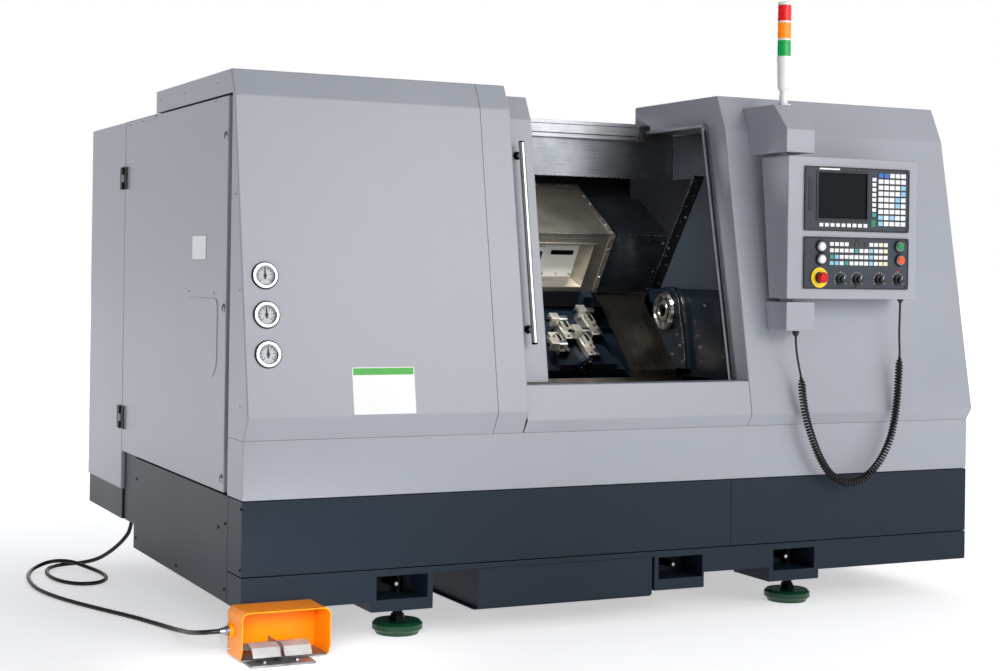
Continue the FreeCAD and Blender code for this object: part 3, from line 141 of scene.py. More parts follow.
floor_paint, floor_place = new_material("matt_white_studio_floor")
reach = add_node(floor_paint, "ShaderNodeVectorMath", {"operation": "LENGTH"}, {0: floor_place})
glow = add_node(floor_paint, "ShaderNodeMapRange", {"From Min": 2.4, "From Max": 7.0,
    "To Min": 0.5, "To Max": 1.0}, {"Value": reach.outputs["Value"]})
speckle = tone(floor_paint, noise(floor_paint, 4, 2), 0, "#F4F4F5", 1, "#F8F8F9")
finish_material(floor_paint, {"Roughness": 0.9, "Emission Color": linear("#FFFFFF")},
    {"Base Color": speckle, "Emission Strength": glow.outputs["Result"]})

floor_mesh = bpy.data.meshes.new("studio_floor")
floor_mesh.from_pydata([(-60, -60, 0), (60, -60, 0), (60, 60, 0), (-60, 60, 0)], [],
    [(0, 1, 2, 3)])
floor_mesh.materials.append(floor_paint)
studio_floor = link(bpy.data.objects.new("studio_floor", floor_mesh))

world = bpy.data.worlds.new("studio")
bpy.context.scene.world = world
world.use_nodes = True
surround = world.node_tree.nodes["Background"]
surround.inputs["Strength"].default_value = 1.0
direction = add_node(world, "ShaderNodeTexCoord")
height = add_node(world, "ShaderNodeSeparateXYZ", None, {0: direction.outputs["Generated"]})
darker_left = add_node(world, "ShaderNodeMath", {"operation": "MULTIPLY_ADD", 1: -0.95},
    {0: height.outputs["X"], 2: height.outputs["Z"]})
sky = tone(world, darker_left.outputs[0], 0.22, "#FFFFFF", 0.75, "#666A72")
world.node_tree.links.new(sky, surround.inputs["Color"])


def soft_box(name, place, aim, width, height, power, colour, spread=180):
    """A rectangular soft box that faces a point; spread is its beam in degrees."""
    data = bpy.data.lights.new(name, "AREA")
    data.shape = "RECTANGLE"
    data.size = width
    data.size_y = height
    data.energy = power
    data.spread = math.radians(spread)
    data.color = linear(colour)[:3]
    box = link(bpy.data.objects.new(name, data))
    box.location = place
    box.rotation_euler = (Vector(aim) - Vector(place)).to_track_quat("-Z", "Y").to_euler()
    return box


soft_box("key_box", (2.2, -7.5, 3.4), (0.2, -0.6, 1.0), 4.0, 3.0, 170, "#FFFDF8")
soft_box("left_box", (-6.5, -2.5, 2.6), (-0.8, 0.2, 1.0), 3.0, 3.0, 6, "#F4F8FF")
soft_box("rear_box", (0.5, 7.5, 4.0), (0.0, 0.8, 1.0), 4.0, 2.6, 120, "#FFFFFF")
soft_box("work_lamp", at(1100, 420, 1700), at(1580, 800, 1270), 0.4, 0.06, 15, "#FFFBF2", 100)
soft_box("foot_box", at(-250, -900, 420), at(110, -100, 60), 0.4, 0.25, 1.7, "#FFFFFF", 70)

# ---------------------------------------------------------------- cords
# The coiled lead between the fixed arm and the control box is polyurethane, wound on a
# mandrel.  The foot switch hangs on a rubber cable that leaves under the left end panel.


def sheath(name, hex_colour, roughness):
    """Extruded rubber: dull black with a slight handling sheen and fine dust."""
    material, place = new_material(name)
    dust = noise(material, 60, 4, place)
    return finish_material(material, {"Specular IOR Level": 0.4},
        {"Base Color": tone(material, dust, 0.45, hex_colour, 1, "#26272A"),
        "Roughness": stretched(material, dust, roughness - 0.06, roughness + 0.1),
        "Normal": relief(material, noise(material, 900, 2, place), 0.12, 0.0003)})


cable_rubber = sheath("extruded_rubber_sheath", "#0E0F11", 0.42)


def route(name, points, radius):
    """A cord's own curve through given control points."""
    curve = bpy.data.curves.new(name, "CURVE")
    curve.dimensions = "3D"
    curve.resolution_u = 14
    spline = curve.splines.new("NURBS")
    spline.points.add(len(points) - 1)
    for control, point in zip(spline.points, points):
        control.co = (*at(*point), 1)
    spline.order_u = 3
    spline.use_endpoint_u = True
    curve.bevel_depth = radius
    curve.bevel_resolution = 5
    curve.use_fill_caps = True
    return link(bpy.data.objects.new(name, curve))


def evaluated_mesh(obj):
    """A plain mesh of a curve, or of an object with its modifiers applied."""
    bpy.context.view_layer.update()
    graph = bpy.context.evaluated_depsgraph_get()
    return bpy.data.meshes.new_from_object(obj.evaluated_get(graph))


def centre_line(points):
    """The points of the route's NURBS spline."""
    bare = route("bare_route", points, 0)
    line = [vertex.co.copy() for vertex in evaluated_mesh(bare).vertices]
    bpy.data.objects.remove(bare)
    return line


def line_length(line):
    return sum((b - a).length for a, b in zip(line, line[1:]))


def even_line(line, step):
    """The same line with points a fixed step apart."""
    points, left = [line[0]], step
    for start, end in zip(line, line[1:]):
        span = (end - start).length
        while span > left:
            start = start + (end - start) * (left / span)
            span -= left
            points.append(start)
            left = step
        left -= span
    points[-1] = line[-1]
    return points


def round_way(u, v, degrees):
    """A way in the plane of two others; 0 degrees is the first and 90 the second."""
    return u * math.cos(math.radians(degrees)) + v * math.sin(math.radians(degrees))


def transported(line):
    """A pair of crosswise directions at each point, carried along without twist."""
    side = Vector((0, 1, 0))
    frames = []
    for index in range(len(line)):
        ahead = line[min(index + 1, len(line) - 1)] - line[max(index - 1, 0)]
        ahead.normalize()
        side = (side - ahead * side.dot(ahead)).normalized()
        frames.append((side, ahead.cross(side)))
    return frames


# The mesh that is being drawn; each finished piece empties it for the next.
shell = bmesh.new()


def drawn(name, sheet, materials):
    """A mesh of what is drawn in a sheet, which is left empty."""
    mesh = bpy.data.meshes.new(name)
    sheet.to_mesh(mesh)
    sheet.clear()
    for material in materials:
        mesh.materials.append(material)
    return mesh


def skin(low, high, material):
    """Draws faces between two loops of corners; a loop may be a single point."""
    count = max(len(low), len(high))
    for step in range(count):
        after = (step + 1) % count
        corners = (low[step % len(low)], low[after % len(low)], high[after % len(high)],
            high[step % len(high)])
        shell.faces.new(list(dict.fromkeys(corners))).material_index = material


def closed(loops, material=0):
    """Draws a skin over a row of loops and a face over each end."""
    for low, high in zip(loops, loops[1:]):
        skin(low, high, material)
    for end in (loops[0][::-1], loops[-1]):
        shell.faces.new(end).material_index = material


def tube(line, radius, sides, material=0):
    """Draws a closed tube round a line; points and radius are in metres."""
    ways = [360 * step / sides for step in range(sides)]
    closed([[shell.verts.new(point + round_way(side, other, way) * radius) for way in ways]
        for point, (side, other) in zip(line, transported(line))], material)


foot_route = [(30.3, 1530, 290), (30.3, 1558, 190), (8, 1592, 140), (-25, 1655, 88),
    (-62, 1745, 40), (-118, 1822, 16), (-196, 1850, 10), (-262, 1780, 9), (-290, 1640, 9),
    (-278, 1490, 9), (-222, 1385, 9), (-140, 1380, 9), (-84, 1470, 9), (-76, 1600, 9),
    (-110, 1715, 16), (-165, 1785, 34), (-240, 1815, 34), (-318, 1770, 16), (-362, 1660, 9),
    (-383, 1510, 9), (-388, 1340, 9), (-358, 1170, 9), (-308, 1008, 9), (-248, 850, 9),
    (-184, 694, 9), (-136, 544, 9), (-108, 400, 14), (-112, 260, 34), (-138, 130, 58),
    (-142, 10, 80), (-119, -50, 92), (-36, -50, 92)]
foot_cable = route("foot_cable", foot_route, 0.008)
foot_cable.data.materials.append(cable_rubber)
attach(foot_cable, "machine")
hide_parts("foot_cord")
line_length(centre_line(foot_route))

curl_route = [(2124, -60, 1046), (2124, -60, 1000), (2136, -61, 930), (2152, -62, 868),
    (2158, -62, 800), (2176, -62, 718), (2206, -62, 640), (2244, -62, 562), (2296, -62, 496),
    (2374, -62, 466), (2454, -62, 484), (2520, -62, 541), (2566, -62, 616), (2590, -62, 698),
    (2602, -62, 790), (2607, -62, 884), (2611, -62, 962), (2608, -60, 1030), (2611, -58, 1095),
    (2614, -56, 1166)]
strand_radius, coil_radius, coil_pitch = 0.0042, 0.0112, 0.0118
coil_start, coil_end = 0.170, 0.215
spine = even_line(centre_line(curl_route), coil_pitch / 14)
whole = line_length(spine)
lead_line = []
travelled = 0.0
for index, (point, (side, other)) in enumerate(zip(spine, transported(spine))):
    if index:
        travelled += (point - spine[index - 1]).length
    opened = min((travelled - coil_start) / 0.03, (whole - coil_end - travelled) / 0.03)
    reach = coil_radius * max(0.0, min(1.0, opened))
    turn = 360 * travelled / coil_pitch
    lead_line.append(point + round_way(side, other, turn) * reach)
tube(lead_line, strand_radius, 8)
bmesh.ops.recalc_face_normals(shell, faces=shell.faces)
lead_mesh = drawn("coiled_lead", shell, [cable_rubber])
lead_mesh.shade_smooth()
coiled_lead = link(bpy.data.objects.new("coiled_lead", lead_mesh))
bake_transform(coiled_lead)
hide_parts("panel_cord")

# ---------------------------------------------------------------- coolant tank
# A welded steel box that slides in under the bed, in the slate powder coat that it shares
# with the base.  The coat is soft and slightly uneven.


def painted(name, hex_dark, hex_light, roughness, peel_size=1.5, peel=0.04, waviness=0.0,
        gloss=0.5):
    """Paint or moulded plastic: a faint cloud of tone, an orange peel whose size is in
    millimetres, and a wide waviness."""
    material, place = new_material(name)
    cloud = noise(material, 1.6, 3, place)
    flat = relief(material, noise(material, 2.4, 1, place), waviness, 0.006)
    skin = noise(material, 1000 / peel_size, 2, place)
    return finish_material(material, {"IOR": 1.5, "Specular IOR Level": gloss},
        {"Base Color": tone(material, cloud, 0.3, hex_dark, 0.7, hex_light),
        "Roughness": stretched(material, cloud, roughness - 0.04, roughness + 0.06),
        "Normal": relief(material, skin, peel, 0.0004, flat)})


def coat_nodes(material, *names):
    """Puts a finish on the CAD nodes' own slots."""
    for name in names:
        mesh = nodes[name].data
        mesh.materials.clear()
        mesh.materials.append(material)


# The peel of sprayed slate polyester is about 3 mm across, drawn at 5 mm so that it shows.
slate_coat = painted("slate_powder_coat", "#192530", "#1D2936", 0.42, 5, 0.06, 0.04, 0.2)
coat_nodes(slate_coat, "coolant_tank")

# ---------------------------------------------------------------- levelling feet
# Cast-iron discs in dark green enamel under zinc-plated M36 screws, each locked by a nut
# and turned with a spanner through its housing.  The screws and nuts are drawn in black
# oxide as painted shade, for the shadow that the housings cast on them.

east, rearward, skyward = Vector((1, 0, 0)), Vector((0, 1, 0)), Vector((0, 0, 1))


def metal(name, hex_dark, hex_light, roughness, grain, depth=0.08, metallic=1.0):
    """Bare metal with tool marks; grain is the marks' size along X, Y and Z in
    millimetres, and a thin film of oil changes its tone."""
    material, place = new_material(name)
    stretch = add_node(material, "ShaderNodeMapping", {"Scale": [1000 / size for size in grain]},
        {"Vector": place})
    marks = noise(material, 1, 3, stretch.outputs["Vector"])
    streak = add_node(material, "ShaderNodeMath", {"operation": "MULTIPLY_ADD", 1: 0.7},
        {0: marks, 2: noise(material, 7, 4, place)})
    return finish_material(material, {"Metallic": metallic},
        {"Base Color": tone(material, streak.outputs[0], 0.65, hex_dark, 1, hex_light),
        "Roughness": stretched(material, marks, roughness - 0.08, roughness + 0.1),
        "Normal": relief(material, marks, depth, 0.0004)})


def settle(piece, body):
    """Bakes a piece's modifiers into a plain mesh and lets it ride on a body."""
    mesh = evaluated_mesh(piece)
    mesh.name = piece.name
    piece.modifiers.clear()
    piece.data = mesh
    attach(piece, body)
    return piece


def new_tree(name, sockets):
    """A geometry tree with named inputs, the inputs' identifiers and their outputs."""
    tree = bpy.data.node_groups.new(name, "GeometryNodeTree")
    names = {label: tree.interface.new_socket(label, in_out="INPUT",
        socket_type=f"NodeSocket{kind}").identifier for label, kind in sockets.items()}
    tree.interface.new_socket("Mesh", in_out="OUTPUT", socket_type="NodeSocketGeometry")
    return tree, names, add_node(tree, "NodeGroupInput").outputs


def point_way(tree, label):
    """A direction that was stored on each point."""
    return add_node(tree, "GeometryNodeInputNamedAttribute", {"data_type": "FLOAT_VECTOR",
        "Name": label}).outputs["Attribute"]


def set_out(tree, links, finish):
    """A shape set out on points, made real and given its material."""
    placed = add_node(tree, "GeometryNodeInstanceOnPoints", None, links)
    real = add_node(tree, "GeometryNodeRealizeInstances", None,
        {"Geometry": placed.outputs["Instances"]})
    return add_node(tree, "GeometryNodeSetMaterial", None, {"Geometry": real.outputs["Geometry"],
        "Material": finish}).outputs[0]


def screw_tree():
    """Points that face a way become chamfered heads, each with a thin disc on top in the
    recess's finish: dark on a bright head it is painted shade in the socket, bright on a dark
    head a painted highlight.
    """
    tree, names, given = new_tree("screw_heads", {"Points": "Geometry", "Head Radius": "Float",
        "Head Height": "Float", "Head Sides": "Int", "Steel": "Material", "Recess": "Material"})
    turn = add_node(tree, "FunctionNodeAlignRotationToVector", {"axis": "Z"},
        {"Vector": point_way(tree, "facing")})
    crown, drive, sunk = [add_node(tree, "ShaderNodeMath", {"operation": "MULTIPLY", 1: share},
        {0: given[label]}).outputs[0] for label, share in (("Head Radius", 0.82),
        ("Head Radius", 0.45), ("Head Height", 0.06))]
    head = add_node(tree, "GeometryNodeMeshCone", None, {"Vertices": given["Head Sides"],
        "Radius Top": crown, "Radius Bottom": given["Head Radius"], "Depth": given["Head Height"]})
    hole = add_node(tree, "GeometryNodeMeshCone", {"Vertices": 6},
        {"Radius Top": drive, "Radius Bottom": drive, "Depth": sunk})
    lift = add_node(tree, "ShaderNodeCombineXYZ", None, {"Z": given["Head Height"]})
    raised = add_node(tree, "GeometryNodeTransform", None, {"Geometry": hole.outputs["Mesh"],
        "Translation": lift.outputs[0]})
    join = add_node(tree, "GeometryNodeJoinGeometry")
    for shape, finish in ((head.outputs["Mesh"], "Steel"), (raised.outputs["Geometry"], "Recess")):
        heads = set_out(tree, {"Points": given["Points"], "Instance": shape,
            "Rotation": turn.outputs["Rotation"]}, given[finish])
        tree.links.new(heads, join.inputs["Geometry"])
    add_node(tree, "NodeGroupOutput", None, {0: join.outputs["Geometry"]})
    return tree, names


def grown(name, tree, names, places, ways, values):
    """Points with their directions, which a tree turns into shapes."""
    mesh = bpy.data.meshes.new(name)
    mesh.from_pydata([place[0] for place in places], [], [])
    for index, label in enumerate(ways, start=1):
        stored = mesh.attributes.new(label, "FLOAT_VECTOR", "POINT")
        for item, place in zip(stored.data, places):
            item.vector = place[index] if len(place) > index else (1, 1, 1)
    piece = link(bpy.data.objects.new(name, mesh))
    modifier = piece.modifiers.new("shapes", "NODES")
    modifier.node_group = tree
    for label, value in values.items():
        modifier[names[label]] = value
    return piece


screw_heads, screw_inputs = screw_tree()

# Bright zinc gives a bluish mirror dulled by the plating's grain, drawn at 5 mm.
zinc_steel = metal("bright_zinc_steel", "#8E9196", "#C6C9CD", 0.26, (5, 5, 5))
# Black oxide is a thin dark skin that lets the steel's gloss through.
black_oxide = metal("black_oxide_steel", "#0B0C0E", "#17191C", 0.42, (16, 16, 16))


# A recess finish darker than the head is painted shade in the socket; a brighter one is a painted
# highlight.
def screws(name, body, places, radius, head, steel=zinc_steel, recess=black_oxide, sides=16):
    """Heads, sized in millimetres; each place is a point, or x, y and z, and the way it faces."""
    places = [(at(*place[:3]), place[3]) if len(place) == 4 else place for place in places]
    piece = grown(name, screw_heads, screw_inputs, places, ["facing"],
        {"Head Radius": radius / 1000, "Head Height": head / 1000, "Head Sides": sides,
        "Steel": steel, "Recess": recess})
    return settle(piece, body)


green_enamel = painted("green_pad_enamel", "#04351F", "#07492B", 0.3, 5, 0.06, 0.04)
foot_x, foot_y = (605, 2235), (130, 1290)
coat_nodes(green_enamel, "levelling_pads")
# Black oxide on the screws and lock nuts is painted shade under the housings.
coat_nodes(black_oxide, "levelling_screws")
screws("levelling_lock_nuts", "machine", [(x, y, 45, skyward) for x in foot_x for y in foot_y], 30,
    22, black_oxide, black_oxide, sides=6)
# Each dark jack bolt carries a bright zinc disc on its end: a painted highlight.
screws("housing_jack_bolts", "machine", [(x, 150, 184, -rearward) for x in (568, 1672, 2174)], 15,
    92, black_oxide, zinc_steel, sides=6)

# ---------------------------------------------------------------- cast base and covers
# The iron base casting with its three housings, and the folded 3 mm panels hung on it with
# socket screws, all in the slate powder coat.  A press brake leaves each fold with a small
# round that catches the light.


def folded_copy(name, body, materials, fold, pick=None, wide=12, steps=3):
    """A node's own shape with its folds rounded; fold is the round's width in
    millimetres, and pick gives a face's material from its centre and normal."""
    sheet = bmesh.new()
    sheet.from_mesh(nodes[name].data)
    bmesh.ops.remove_doubles(sheet, verts=sheet.verts, dist=0.00002)
    bmesh.ops.dissolve_limit(sheet, angle_limit=math.radians(0.4), verts=sheet.verts,
        edges=sheet.edges)
    broad = {}
    for face in sheet.faces:
        longest = max(edge.calc_length() for edge in face.edges)
        broad[face] = face.calc_area() / longest > wide / 1000
    folds = [edge for edge in sheet.edges if edge.is_manifold and edge.is_convex and
        math.radians(8) < edge.calc_face_angle() < math.radians(115) and edge.calc_length() > 0.004
        and all(broad[face] for face in edge.link_faces)]
    if folds and fold:
        bmesh.ops.bevel(sheet, geom=folds, offset=fold / 1000, offset_type="OFFSET",
            segments=steps, profile=0.5, affect="EDGES", clamp_overlap=False)
    for face in sheet.faces:
        face.smooth = True
        if pick:
            centre = (face.calc_center_median() - at(0, 0, 0)) * 1000
            face.material_index = pick(centre, face.normal)
    mesh = drawn(f"{name}_folded", sheet, materials)
    mesh.set_sharp_from_angle(angle=math.radians(33))
    piece = link(bpy.data.objects.new(f"{name}_folded", mesh))
    piece.modifiers.new("even_shading", "WEIGHTED_NORMAL").keep_sharp = True
    settle(piece, body)
    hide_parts(name)
    return piece


folded_copy("base_frame", "machine", [slate_coat], 2.5)
folded_copy("base_covers", "machine", [slate_coat], 3.5)
cover_screws = [(0, y, z, -east) for y, z in ((1369, 413), (263, 378), (185, 400), (185, 180),
    (1369, 180), (780, 165), (14, 470), (14, 272))]
cover_screws += [(3000, y, z, east) for y, z in ((1369, 413), (263, 378), (185, 180), (1369, 180),
    (780, 165))]
screws("base_cover_screws", "machine", cover_screws, 6, 3.2, black_oxide, black_oxide)

# ---------------------------------------------------------------- grey sheet covers
# The plinth, the two hoods and the rear cabinet are folded 3 mm steel sheet, bolted to the
# frame from inside, in a light grey polyester powder coat with a soft sheen.

# The peel is about 3 mm across, drawn at 5 mm so that it shows.
grey_coat = painted("light_grey_powder_coat", "#9A9EA7", "#9FA3AC", 0.33, 5, 0.05, 0.035)
for name, fold in (("plinth_and_sill", 3.5), ("left_hood", 4.5), ("right_hood", 4.5),
        ("rear_enclosure", 4.0)):
    folded_copy(name, "machine", [grey_coat], fold)


def slab(outline, origin, u, v, depth, material=0):
    """Draws an outline, in millimetres along u and v from a point, pushed out square."""
    out = u.cross(v).normalized() * depth / 1000
    low = [shell.verts.new(origin + u * a / 1000 + v * b / 1000) for a, b in outline]
    high = [shell.verts.new(vertex.co + out) for vertex in low]
    closed([low, high], material)


def oblong(left, right, low, high):
    """The corners of a rectangle: an outline, or the profile of a flat ring."""
    return [(left, low), (right, low), (right, high), (left, high)]


def rounded(left, low, right, high, radius, steps=5):
    """A rectangle with round corners."""
    outline = []
    for x, y, start in ((right - radius, low + radius, -90), (right - radius, high - radius, 0),
            (left + radius, high - radius, 90), (left + radius, low + radius, 180)):
        for step in range(steps + 1):
            turn = math.radians(start + 90 * step / steps)
            outline.append((x + radius * math.cos(turn), y + radius * math.sin(turn)))
    return outline


def turned(profile, origin, axis, sides=32, material=0):
    """Draws a profile of (radius, height) in millimetres spun about an axis through a point;
    one that starts off the axis is closed into a ring."""
    side = axis.orthogonal().normalized()
    other = axis.cross(side).normalized()
    ways = [round_way(side, other, 360 * step / sides) for step in range(sides)]
    rings = []
    for radius, level in profile:
        centre = origin + axis * level / 1000
        if radius == 0:
            rings.append([shell.verts.new(centre)])
            continue
        rings.append([shell.verts.new(centre + way * radius / 1000) for way in ways])
    for low, high in zip(rings, rings[1:]):
        skin(low, high, material)
    if profile[0][0]:
        skin(rings[-1], rings[0], material)


def break_edges(piece, width, steps):
    """Bevels a piece's edges over a width in millimetres."""
    broken = piece.modifiers.new("broken_edges", "BEVEL")
    broken.width = width / 1000
    broken.segments = steps
    return broken


def made(name, body, materials, edge=0, steps=2):
    """Makes a piece of what is drawn: normals outwards, edges broken, shading even."""
    bmesh.ops.recalc_face_normals(shell, faces=shell.faces)
    for face in shell.faces:
        face.smooth = True
    mesh = drawn(name, shell, materials)
    piece = link(bpy.data.objects.new(name, mesh))
    if edge:
        broken = break_edges(piece, edge, steps)
        broken.limit_method = "ANGLE"
        broken.angle_limit = math.radians(40)
    else:
        mesh.set_sharp_from_angle(angle=math.radians(33))
    piece.modifiers.new("even_shading", "WEIGHTED_NORMAL").keep_sharp = True
    return settle(piece, body)


def sloped(back, rise):
    """The way up a sheet that leans back over a rise, and the way out of its front."""
    return Vector((0, back, rise)).normalized(), Vector((0, -rise, back)).normalized()


hood_back, hood_rise = 189, 1066
hood_up, hood_out = sloped(hood_back, hood_rise)


def left_front(x, z):
    """A point on the left hood's sloped front."""
    return at(x, -43 + (z - 769) * hood_back / hood_rise, z)


# A blank plate for the buyer's own use: printed vinyl, matt and faintly mottled.
plate_white = painted("matt_white_vinyl", "#E9EBEA", "#F4F5F4", 0.5, 3)
plate_green = painted("green_vinyl_band", "#3FA63A", "#49B043", 0.45, 3)
slab(rounded(-112, 0, 112, 158, 4), left_front(480, 774) + hood_out * 0.0001, east, hood_up, 0.6)
slab(rounded(-109, 132, 109, 155, 2), left_front(480, 774) + hood_out * 0.0007, east, hood_up, 0.3,
    1)
made("blank_hood_plate", "machine", [plate_white, plate_green])

# Screws that hold the hoods to the frame, on the ends and along the top folds.
hood_screws = [(0, y, z, -east) for y, z in ((352, 1886), (760, 1886), (1090, 1886), (120, 1500),
    (62, 1180), (40, 800))]
hood_screws += [(3000, y, z, east) for y, z in ((120, 1400), (80, 1100), (60, 800), (420, 1892),
    (760, 1892))]
screws("hood_end_screws", "machine", hood_screws, 5, 2.6)

# Rear of the cabinet: three lift-off doors, ventilation louvres and quarter-turn locks.


def bar_tree():
    """Points that face a way become bars laid along another way."""
    tree, names, given = new_tree("laid_bars", {"Points": "Geometry", "Bar Size": "Vector",
        "Finish": "Material"})
    first = add_node(tree, "FunctionNodeAlignRotationToVector", {"axis": "Z"},
        {"Vector": point_way(tree, "facing")})
    second = add_node(tree, "FunctionNodeAlignRotationToVector", {"axis": "X", "pivot_axis": "Z"},
        {"Rotation": first.outputs["Rotation"], "Vector": point_way(tree, "along")})
    bar = add_node(tree, "GeometryNodeMeshCube", None, {"Size": given["Bar Size"]})
    laid = set_out(tree, {"Points": given["Points"], "Instance": bar.outputs["Mesh"],
        "Rotation": second.outputs["Rotation"], "Scale": point_way(tree, "stretch")},
        given["Finish"])
    add_node(tree, "NodeGroupOutput", None, {0: laid})
    return tree, names


laid_bars, bar_inputs = bar_tree()


def bars(name, body, places, size, finish, edge=0):
    """Bars centred on places; each is a point, the ways it faces and lies, and optionally
    how far it is stretched.  Size is in millimetres."""
    piece = grown(name, laid_bars, bar_inputs, places, ["facing", "along", "stretch"],
        {"Bar Size": [side / 1000 for side in size], "Finish": finish})
    if edge:
        break_edges(piece, edge, 2)
    return settle(piece, body)


cabinet_back = 2216
for left, right in ((60, 980), (1040, 1960), (2020, 2940)):
    slab(rounded(left, 420, right, 1770, 12), at(0, cabinet_back + 4, 0), east, skyward, 4)
made("cabinet_doors", "machine", [grey_coat], 1.5)
louvres = [(at(x, cabinet_back + 5, z), (rearward + skyward * 0.5).normalized(), east)
    for x in (300, 740, 1280, 1720, 2260, 2700) for z in list(range(520, 740, 26))
    + list(range(1480, 1700, 26))]
bars("cabinet_louvres", "machine", louvres, (220, 14, 3), grey_coat, 0.8)
for x, z in ((930, 1300), (930, 800), (1910, 1300), (1910, 800), (2890, 1300), (2890, 800)):
    turned([(0, 0), (16, 0), (16, 3), (14, 5), (0, 5)], at(x, cabinet_back + 4, z), rearward, 24)
    # The black bar is the lock's slot, drawn dark as painted shade.
    slab(rounded(-3, -11, 3, 11, 2), at(x, cabinet_back + 9.5, z), east, skyward, 1.2, 1)
made("cabinet_locks", "machine", [zinc_steel, black_oxide])
roof_x, roof_y = (620, 1480, 2340), 1760
for x in roof_x:
    slab(rounded(-150, -110, 150, 110, 8), at(x, roof_y, 1840), east, rearward, 5)
made("roof_covers", "machine", [grey_coat], 1.5)
screws("roof_cover_screws", "machine", [(x + dx, roof_y + dy, 1845, skyward)
    for x in roof_x for dx in (-135, 135) for dy in (-95, 95)], 5, 3)
side_louvres = [(at(3001, y, z), (east + skyward * 0.5).normalized(), rearward)
    for y in (700, 1200) for z in range(1500, 1720, 26)]
bars("side_louvres", "machine", side_louvres, (220, 14, 3), grey_coat, 0.8)

# ---------------------------------------------------------------- gauges
# Three bourdon gauges in chromed steel cases, pushed through the hood and clamped behind
# it: white lacquered dials with printed marks, and a blued needle on each pointer shaft.

# Hard chrome is nearly a mirror, with only a breath of haze.
chrome = metal("polished_chrome_ring", "#A2A5A9", "#C2C4C8", 0.14, (4, 4, 4), 0.02)
coat_nodes(chrome, "gauge_cases")
coat_nodes(black_oxide, "gauge_needle_1", "gauge_needle_2", "gauge_needle_3")
dial_white = painted("white_dial_lacquer", "#B9C0C6", "#C9CFD4", 0.4, 2, 0.02)
dial_ink = painted("black_dial_ink", "#0C0D0F", "#121316", 0.5, 2, 0.02)
gauge_rubber = sheath("moulded_gauge_gasket", "#0A0B0C", 0.5)
gauge_centres = [left_front(78, level) for level in (975, 1103.5, 1232)]
for centre in gauge_centres:
    turned(oblong(3.8, 30.6, 2.05, 2.5), centre, hood_out, 40)
made("gauge_dials", "machine", [dial_white])
for centre in gauge_centres:
    for profile in (oblong(43.3, 46.5, 0.1, 2.2), oblong(30.8, 34.6, 2.3, 5)):
        turned(profile, centre, hood_out, 40)
made("gauge_gaskets", "machine", [gauge_rubber])
marks = []
for centre in gauge_centres:
    for step in range(41):
        way = round_way(east, hood_up, 225 - 270 * step / 40)
        radius, grow = (0.0245, 1.6) if step % 4 == 0 else (0.0262, 1.0)
        marks.append((centre + way * radius + hood_out * 0.0027, hood_out, way, (grow, grow, 1.0)))
bars("gauge_marks", "machine", marks, (5.5, 1.2, 0.3), dial_ink)


def dial_number(text, place, right, high):
    """A figure of the built-in typeface, cut from 0.2 mm film."""
    curve = bpy.data.curves.new("dial_number", "FONT")
    curve.body = text
    curve.size = high / 1000
    curve.align_x = "CENTER"
    curve.align_y = "CENTER"
    curve.extrude = 0.0001
    flat = link(bpy.data.objects.new("dial_number", curve))
    mesh = evaluated_mesh(flat)
    bpy.data.objects.remove(flat)
    out = right.cross(hood_up).normalized()
    turn = Matrix((right, hood_up, out)).transposed().to_4x4()
    mesh.transform(Matrix.Translation(place) @ turn)
    return mesh


for centre in gauge_centres:
    for step in range(6):
        place = centre + round_way(east, hood_up, 225 - 54 * step) * 0.0178
        shell.from_mesh(dial_number(str(2 * step), place + hood_out * 0.0028, east, 6.5))
bmesh.ops.remove_doubles(shell, verts=shell.verts, dist=0.000001)
made("gauge_figures", "machine", [dial_ink])
for number, centre in enumerate(gauge_centres, start=1):
    slab([(-2.8, -12), (2.8, -12), (2.2, 12), (0.8, 25), (-0.8, 25), (-2.2, 12)],
        centre + hood_out * 0.0043, east, hood_up, 0.8)
    turned([(0, 5.45), (5.2, 5.45), (4.4, 7), (0, 7)], centre, hood_out, 24)
    made(f"needle_blade_{number}", f"gauge_needle_{number}", [dial_ink])

# ---------------------------------------------------------------- opening frame
# An extruded aluminium rail, anodised natural, carries the door; a strip of black cellular
# rubber in a second extrusion seals the slanted end of the opening.

# Anodising mattes the extrusion's long die lines, which are drawn 2 mm apart.
anodised = metal("natural_anodised_extrusion", "#8F9298", "#A9ACB2", 0.34, (120, 2, 2))
seal_rubber = sheath("cellular_rubber_seal", "#0B0C0D", 0.55)
folded_copy("opening_frame", "machine", [anodised], 0.8, wide=4, steps=2)
slant_up, slant_out = sloped(218, 974)
slab(oblong(0, 9, 0, 990), at(1921, 80, 845) + slant_out * 0.001, east, slant_up, 3)
slab(oblong(0, 4, 0, 990), at(1933, 80, 845) + slant_out * 0.001, east, slant_up, 8, 1)
slab(rounded(-34, -26, 0, 26, 3), at(1952, 764, 1832), east, skyward, 26, 1)
made("opening_edge_strip", "machine", [anodised, seal_rubber], 0.6)
# Two black strips along the rail stand for its grooves: painted shade.
for level in (1816, 1852):
    slab(oblong(152, 1900, -1.2, 1.2), at(0, 764.9, level), east, skyward, 1.0)
made("rail_groove_shade_strips", "machine", [seal_rubber])

# ---------------------------------------------------------------- sliding door
# A folded steel door on top rollers, with a laminated window bonded in a rubber profile and
# a stainless tube handle on two stand-offs.

folded_copy("sliding_door", "sliding_door", [grey_coat], 3.5)
door_back, door_rise = 168, 944
door_up, door_out = sloped(door_back, door_rise)


def door_face(x, z):
    """A point on the sliding door's sloped front."""
    return at(x, 49 + (z - 866) * door_back / door_rise, z)


def rim(outer, inner, origin, u, v, depth, material=0):
    """Draws a flat rim between two outlines with as many corners."""
    out = u.cross(v).normalized() * depth / 1000
    loops = []
    for outline, lift in ((outer, 0), (outer, 1), (inner, 1), (inner, 0)):
        loops.append([shell.verts.new(origin + u * a / 1000 + v * b / 1000 + out * lift)
            for a, b in outline])
    for low, high in zip(loops, loops[1:] + loops[:1]):
        skin(low, high, material)


